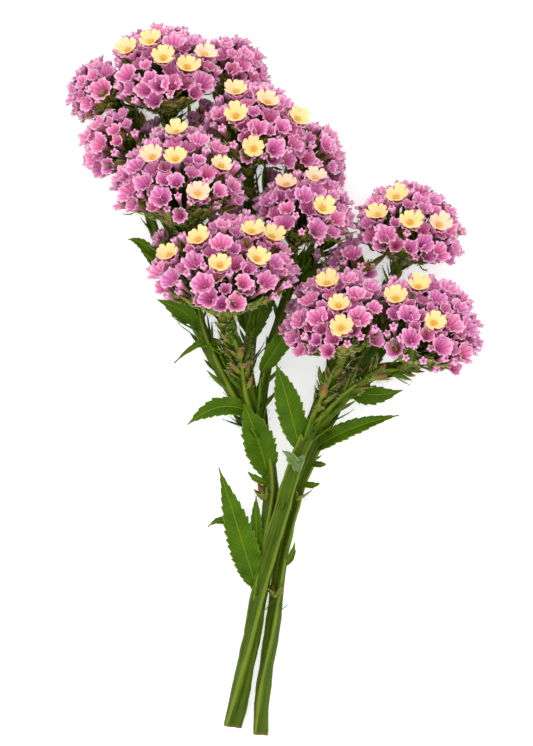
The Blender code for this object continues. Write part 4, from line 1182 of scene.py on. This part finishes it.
def bract_shape(name, seed, length, half_width, curl, hairs, reach, collection):
    """A pointed bract along +Z, its back to +X, its tip curled by curl, with hairs from its edges."""
    rng = random.Random(seed)
    base, bend = Vector((0, 0, 0)), Vector((0.10 * length, 0, 0.55 * length))
    tip = Vector((curl * length, 0, length))
    control = 2 * bend - (base + tip) / 2
    bm = bmesh.new()
    blade_layer = bm.verts.layers.float_vector.new("blade")

    def corner(place, mark):
        vert = bm.verts.new(place * MM)
        vert[blade_layer] = mark
        return vert

    def skirt(low, high):
        for n in range(len(low)):
            bm.faces.new((low[n], low[(n + 1) % len(low)], high[(n + 1) % len(high)], high[n]))

    rows = []
    for section in range(BRACT_SECTIONS + 1):
        share = section / BRACT_SECTIONS
        along = on_midrib(base, control, tip, share)
        width = half_width * (0.55 + 0.45 * math.sin(math.pi * share**0.8)) * (1 - share**3) + 0.08
        row = []
        for side, depth in ((-1, -0.35 * width), (0, 0.0), (1, -0.35 * width), (0, -0.3)):
            mark = Vector((side, share * length, width))
            row.append(corner(along + Vector((depth, side * width, 0)), mark))
        rows.append(row)
    for low, high in zip(rows, rows[1:]):
        skirt(low, high)
    bm.faces.new(rows[0])
    bm.faces.new(rows[-1])

    for _ in range(hairs):
        share = rng.uniform(0.1, 1.0)
        side = rng.choice((-1, 1))
        root = base.lerp(tip, share) + Vector((0.05 * length, side * half_width * (1 - share**3), 0))
        lean = Vector((rng.uniform(-0.3, 0.8), side * rng.uniform(0.5, 1.0), rng.uniform(0.1, 0.9)))
        end = root + lean.normalized() * rng.uniform(*reach)
        sag = lean.orthogonal().normalized() * rng.uniform(-0.3, 0.3) * (end - root).length
        mark = Vector((1.6, share * length, 1))
        rings = []
        for place, size in ((root, 1.0), (root.lerp(end, 0.55) + sag, 0.7)):
            rings.append([corner(place + Vector(c) * size * HAIR_WIDTH, mark)
                          for c in ((1, 0, 0), (0, 0, 1), (-0.7, 0.8, 0))])
        bm.faces.new(rings[0])
        skirt(*rings)
        point = corner(end, mark)
        for n in range(3):
            bm.faces.new((rings[1][n], rings[1][(n + 1) % 3], point))
    bmesh.ops.recalc_face_normals(bm, faces=bm.faces)
    new_object(name, mesh_from(bm, name), collection)


def bract_green():
    """Hairy bract: pale olive green with a red-brown flush, and whitish hairs along its edges."""
    finish, tree, shader = new_finish("hairy_olive_bract", Roughness=0.65, Specular_IOR_Level=0.1)
    mark, tint = (add(tree, "ShaderNodeAttribute", attribute_name=label) for label in ("blade", "tint"))
    apart = add(tree, "ShaderNodeSeparateXYZ", {0: mark.outputs["Vector"]})
    out = add(tree, "ShaderNodeMath", {0: apart.outputs[0]}, operation="ABSOLUTE")
    base = add(tree, "ShaderNodeMix", {0: tint.outputs["Fac"], 6: linear("#425C00"), 7: linear("#8E9830")},
               data_type="RGBA")
    high = add(tree, "ShaderNodeMapRange", {0: apart.outputs[1], 1: 2.5, 2: 7.0, 3: 0.1, 4: 0.9})
    flush = add(tree, "ShaderNodeMath", {0: high.outputs[0], 1: tint.outputs["Fac"]}, operation="MULTIPLY")
    flushed = add(tree, "ShaderNodeMix", {0: flush.outputs[0], 6: base.outputs[2], 7: linear("#8C4E3C")},
                  data_type="RGBA")
    pale = add(tree, "ShaderNodeMapRange", {0: out.outputs[0], 1: 0.8, 2: 1.5, 3: 0.0, 4: 1.0})
    haired = add(tree, "ShaderNodeMix", {0: pale.outputs[0], 6: flushed.outputs[2], 7: linear("#CBD08C")},
                 data_type="RGBA")
    tree.links.new(haired.outputs[2], shader.inputs["Base Color"])
    return finish


bract_skin = bract_green()
bract_shapes = bpy.data.collections.new("bract_shapes")
SMALL_BRACTS, LARGE_BRACTS = range(4), range(4, 8)
SHEATH_RUN = 1.15  # of the branch below a neck that bracts clasp, as a share of the head's radius
BRACTS_UNDER_HEAD = 2.2  # for each millimetre of the head's radius
BRACTS_ON_BRANCH = 1.4
FOOT_DEPTHS = (8.5, 12.0)  # below a floret's rim, where the bracts round its foot stand
LOWEST_BRACT = 2.0  # above the table
NEAR_TABLE = 7  # below this a bract doesn't point down
for n, (length, half_width) in enumerate(((7.0, 1.5), (6.0, 1.7), (8.5, 1.6), (7.5, 2.0))):
    bract_shape(f"bract_{n}", n, length, half_width, -0.1, 6, (1.2, 2.4), bract_shapes)
for n, (length, half_width) in enumerate(((10.0, 2.9), (12.5, 2.5), (8.5, 3.1), (11.0, 2.2))):
    bract_shape(f"bract_{n + 4}", n + 4, length, half_width, 0.10, 14, (1.4, 3.4), bract_shapes)


def bracts_of(head):
    """Bracts round every floret's foot, hanging round the underside, and clasping the branch below."""
    rng = random.Random(500 + HEADS.index(head))
    axis, centre = head_axis(head), Vector(head.place)
    spots = []

    def hang(place, facing, outward, size, shapes):
        place.z = max(place.z, LOWEST_BRACT)
        if place.z < NEAR_TABLE:
            facing.z = max(facing.z, 0.1)
        spots.append((place, facing.normalized(), outward.normalized(), size, rng.choice(shapes)))

    for floret in all_florets[head.name]:
        around = beside(floret.facing, rng.uniform(0, math.tau))
        place = floret.middle - floret.facing * rng.uniform(*FOOT_DEPTHS) + around * 0.8
        hang(place, floret.facing + around * rng.uniform(0.15, 0.55), around,
             rng.uniform(0.8, 1.1), SMALL_BRACTS)
    upright = axis.to_track_quat("Z", "Y")
    count = round(head.radius * BRACTS_UNDER_HEAD)
    for n in range(count):
        turn, share = n * GOLDEN_ANGLE, n / count
        side = upright @ Vector((math.cos(turn), math.sin(turn), 0))
        place = neck(head).lerp(centre, 0.1 + 0.55 * share) + side * head.radius * (0.10 + 0.62 * share)
        hang(place, axis * rng.uniform(0.7, 1.5) + side, side - axis, rng.uniform(0.9, 1.4),
             LARGE_BRACTS if n % 2 else SMALL_BRACTS)

    branch = next(b for b in BRANCHES if b.head == head.name)
    route = smooth_route(full_route(branch), STEM_STEP)
    clasped = [n for n in range(1, len(route))
               if (route[n] - neck(head)).length < SHEATH_RUN * head.radius
               and (route[n] - centre).length > 0.45 * head.radius]
    for n in range(round(head.radius * BRACTS_ON_BRANCH)):
        at = rng.choice(clasped)
        ahead = (route[at] - route[at - 1]).normalized()
        side = beside(ahead, n * GOLDEN_ANGLE)
        hang(route[at] + side * branch.girth[1] * 0.6, ahead + side * rng.uniform(0.15, 0.55), side,
             rng.uniform(0.6, 1.0), LARGE_BRACTS)
    return spots


# Wing leaves and spiny buds
# The stems' wings end in small pointed leaves with bristly edges: close together along the branches,
# a few at each fork, far apart and smaller on the trunks. Three spiny side buds sit on the trunks.

WING_LEAF_GAP = 7.0
TRUNK_LEAF_GAP = 24.0
FORK_LEAVES = 3
FORK_POINT = 2  # the point of a branch's route where they stand
FIRST_TRUNK_LEAF = 60  # above the cut end
TRUNK_LEAF_SIZE = 0.5  # as a share of a branch's
GAP_UNEVENNESS = (0.7, 1.3)
WING_LEAF_SIZES = (0.6, 1.05)
WING_LEAF_SEED = 31
SHOOT_LEAVES = 9
SHOOT_LEAF_SIZES = (0.9, 1.3)
SHOOT_LEAF_LOWEST = 3.5
TRUNK_BUD_SIZE = 0.75
TRUNK_BUD_SEED = 33
# The stem of each spiny bud, its place and the way it points
TRUNK_BUDS = (("back_stem", (0.6, -105.5, 7.0), (-0.05, 1, 0.35)),
              ("back_stem", (10.6, -58.0, 9.0), (0.5, 1, 0.3)),
              ("front_stem", (-3.5, -58.0, 11.8), (-0.5, 1, 0.3)))
TRUNK_BUD_BRACTS = 5

WING_LEAVES = ((13.0, 2.3), (16.0, 2.0), (10.5, 2.4), (14.5, 1.7))  # length and half width
wing_leaf_shapes = bpy.data.collections.new("wing_leaf_shapes")
for n, (length, half_width) in enumerate(WING_LEAVES):
    bract_shape(f"wing_leaf_{n}", 20 + n, length, half_width, 0.12, 7, (0.7, 1.7), wing_leaf_shapes)


def wing_leaves_of(stem):
    """The wing leaves of a stem's trunks and branches, at uneven steps along each."""
    spots = []
    for branch in (b for b in BRANCHES if b.stem == stem):
        rng = random.Random(600 + BRANCHES.index(branch))
        route = smooth_route(full_route(branch), STEM_STEP)
        gap = TRUNK_LEAF_GAP if branch.head is None else WING_LEAF_GAP
        cut = route[0].y < CUT_BELOW
        places = [] if cut else [FORK_POINT] * FORK_LEAVES
        at = float(round(FIRST_TRUNK_LEAF / STEM_STEP) if cut else FORK_POINT)
        while at < len(route) - 3:
            places.append(int(at))
            at += gap * rng.uniform(*GAP_UNEVENNESS) / STEM_STEP
        for n, at in enumerate(places):
            ahead = (route[at] - route[at - 1]).normalized()
            side = beside(ahead, n * GOLDEN_ANGLE + 0.5)
            share = at / len(route)
            girth = branch.girth[0] + (branch.girth[1] - branch.girth[0]) * share
            size = rng.uniform(*WING_LEAF_SIZES) * (TRUNK_LEAF_SIZE if branch.head is None else 1.0)
            facing = ahead + side * rng.uniform(0.15, 0.5)
            place = route[at] + side * girth * 0.55
            if place.z < 5:
                facing.z = max(facing.z, 0.05)
            spots.append((place, facing.normalized(), side, size, rng.randrange(len(WING_LEAVES))))
    return spots


def shoot_leaves():
    """Larger leaves that stand round each side shoot, from its root to its tuft."""
    rng = random.Random(700)
    spots = []
    for _, root, tip in SHOOTS:
        root, tip = Vector(root), Vector(tip)
        ahead = (tip - root).normalized()
        for n in range(SHOOT_LEAVES):
            side = beside(ahead, n * GOLDEN_ANGLE)
            place = root.lerp(tip, rng.uniform(0.1, 0.75)) + side * 1.0
            facing = ahead + side * rng.uniform(0.25, 0.7)
            place.z = max(place.z, SHOOT_LEAF_LOWEST)
            facing.z = max(facing.z, 0.02)
            size, number = rng.uniform(*SHOOT_LEAF_SIZES), rng.randrange(len(WING_LEAVES))
            spots.append((place, facing.normalized(), side, size, number))
    return spots


for stem in ("front_stem", "back_stem"):
    leafy = wing_leaves_of(stem) + (shoot_leaves() if stem == "front_stem" else [])
    piece = planted(f"{stem}_wing_leaves", leafy, wing_leaf_shapes, WING_LEAF_SEED, leaf_skin)
    finished(piece, "stem_green", stem)
    spots = []
    for place, ahead in ((Vector(p), Vector(a)) for s, p, a in TRUNK_BUDS if s == stem):
        for n in range(TRUNK_BUD_BRACTS):
            side = beside(ahead, n * GOLDEN_ANGLE)
            facing = (ahead + side * 0.25).normalized()
            number = LARGE_BRACTS[n % len(LARGE_BRACTS)]
            spots.append((place + side * 0.9, facing, side.normalized(), TRUNK_BUD_SIZE, number))
    piece = planted(f"{stem}_spiny_buds", spots, bract_shapes, TRUNK_BUD_SEED, bract_skin)
    finished(piece, "stem_green", stem)

for head in HEADS:
    stalks = [stalk(head, floret) for floret in all_florets[head.name]]
    source = routes_object(f"{head.name}_stalks", stalks)
    piece = grown(stem_growth, source, Wings=WINGS, Valley=STALK_VALLEY, Sides=STALK_SIDES, Ribs=0.0,
                  Waviness=0.0, Material=stem_skin)
    finished(piece, "stem_green", head.name)
    piece = planted(f"{head.name}_bracts", bracts_of(head), bract_shapes, HEADS.index(head), bract_skin)
    finished(piece, "stem_green", head.name)

for shapes in (calyx_shapes, corolla_shapes, anther_shapes, bract_shapes, wing_leaf_shapes):
    for shape in list(shapes.objects):
        bpy.data.objects.remove(shape)

# Table, light and camera
# A white light table, lit softly from below too, under soft studio light. The camera looks straight
# down at the bunch.

bm = bmesh.new()
bmesh.ops.create_grid(bm, x_segments=1, y_segments=1, size=3.0)
table_top = new_object("table_top", mesh_from(bm, "table_top"))
table_paint = new_finish("white_acrylic_light_table", Base_Color=linear("#C9C9C8"), Roughness=0.9,
                         Emission_Color=linear("#FFFFFF"), Emission_Strength=0.6)[0]
table_top.data.materials.append(table_paint)
table_top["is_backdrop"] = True

world = bpy.data.worlds.new("studio")
world.use_nodes = True
world.node_tree.nodes["Background"].inputs["Color"].default_value = (1, 1, 1, 1)
world.node_tree.nodes["Background"].inputs["Strength"].default_value = 0.95
bpy.context.scene.world = world
bpy.context.scene.view_settings.view_transform = "Standard"

# The place and size of each lamp are metres, its power watts
LAMPS = (("key_light", (-0.8, 0.9, 1.6), 1.8, 20.0),
         ("fill_light", (0.9, -0.5, 1.5), 2.0, 10.0))
LIT_POINT = Vector((0, 0.03, 0.03))
for name, place, size, power in LAMPS:
    light = bpy.data.lights.new(name, "AREA")
    light.size = size
    light.energy = power
    lamp = new_object(name, light)
    lamp.location = place
    lamp.rotation_euler = (LIT_POINT - Vector(place)).to_track_quat("-Z", "Y").to_euler()

PHOTO_HEIGHT = 746  # pixels
PIXEL = 0.476  # millimetres of the bunch that a pixel of the photograph covers
FRAME_MIDDLE = (-3.6, 3.3)
MIDDLE_HEIGHT = 30.0  # above the table, where a pixel covers that much
LENS = 120.0
SENSOR = 36.0
camera_data = bpy.data.cameras.new("camera")
camera_data.lens = LENS
camera_data.sensor_width = SENSOR
camera = new_object("camera", camera_data)
distance = PHOTO_HEIGHT * PIXEL * LENS / SENSOR
camera.location = Vector((*FRAME_MIDDLE, MIDDLE_HEIGHT + distance)) * MM
bpy.context.scene.camera = camera

boxes = [[list(corner) for corner in box] for box in (cad_box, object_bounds())]
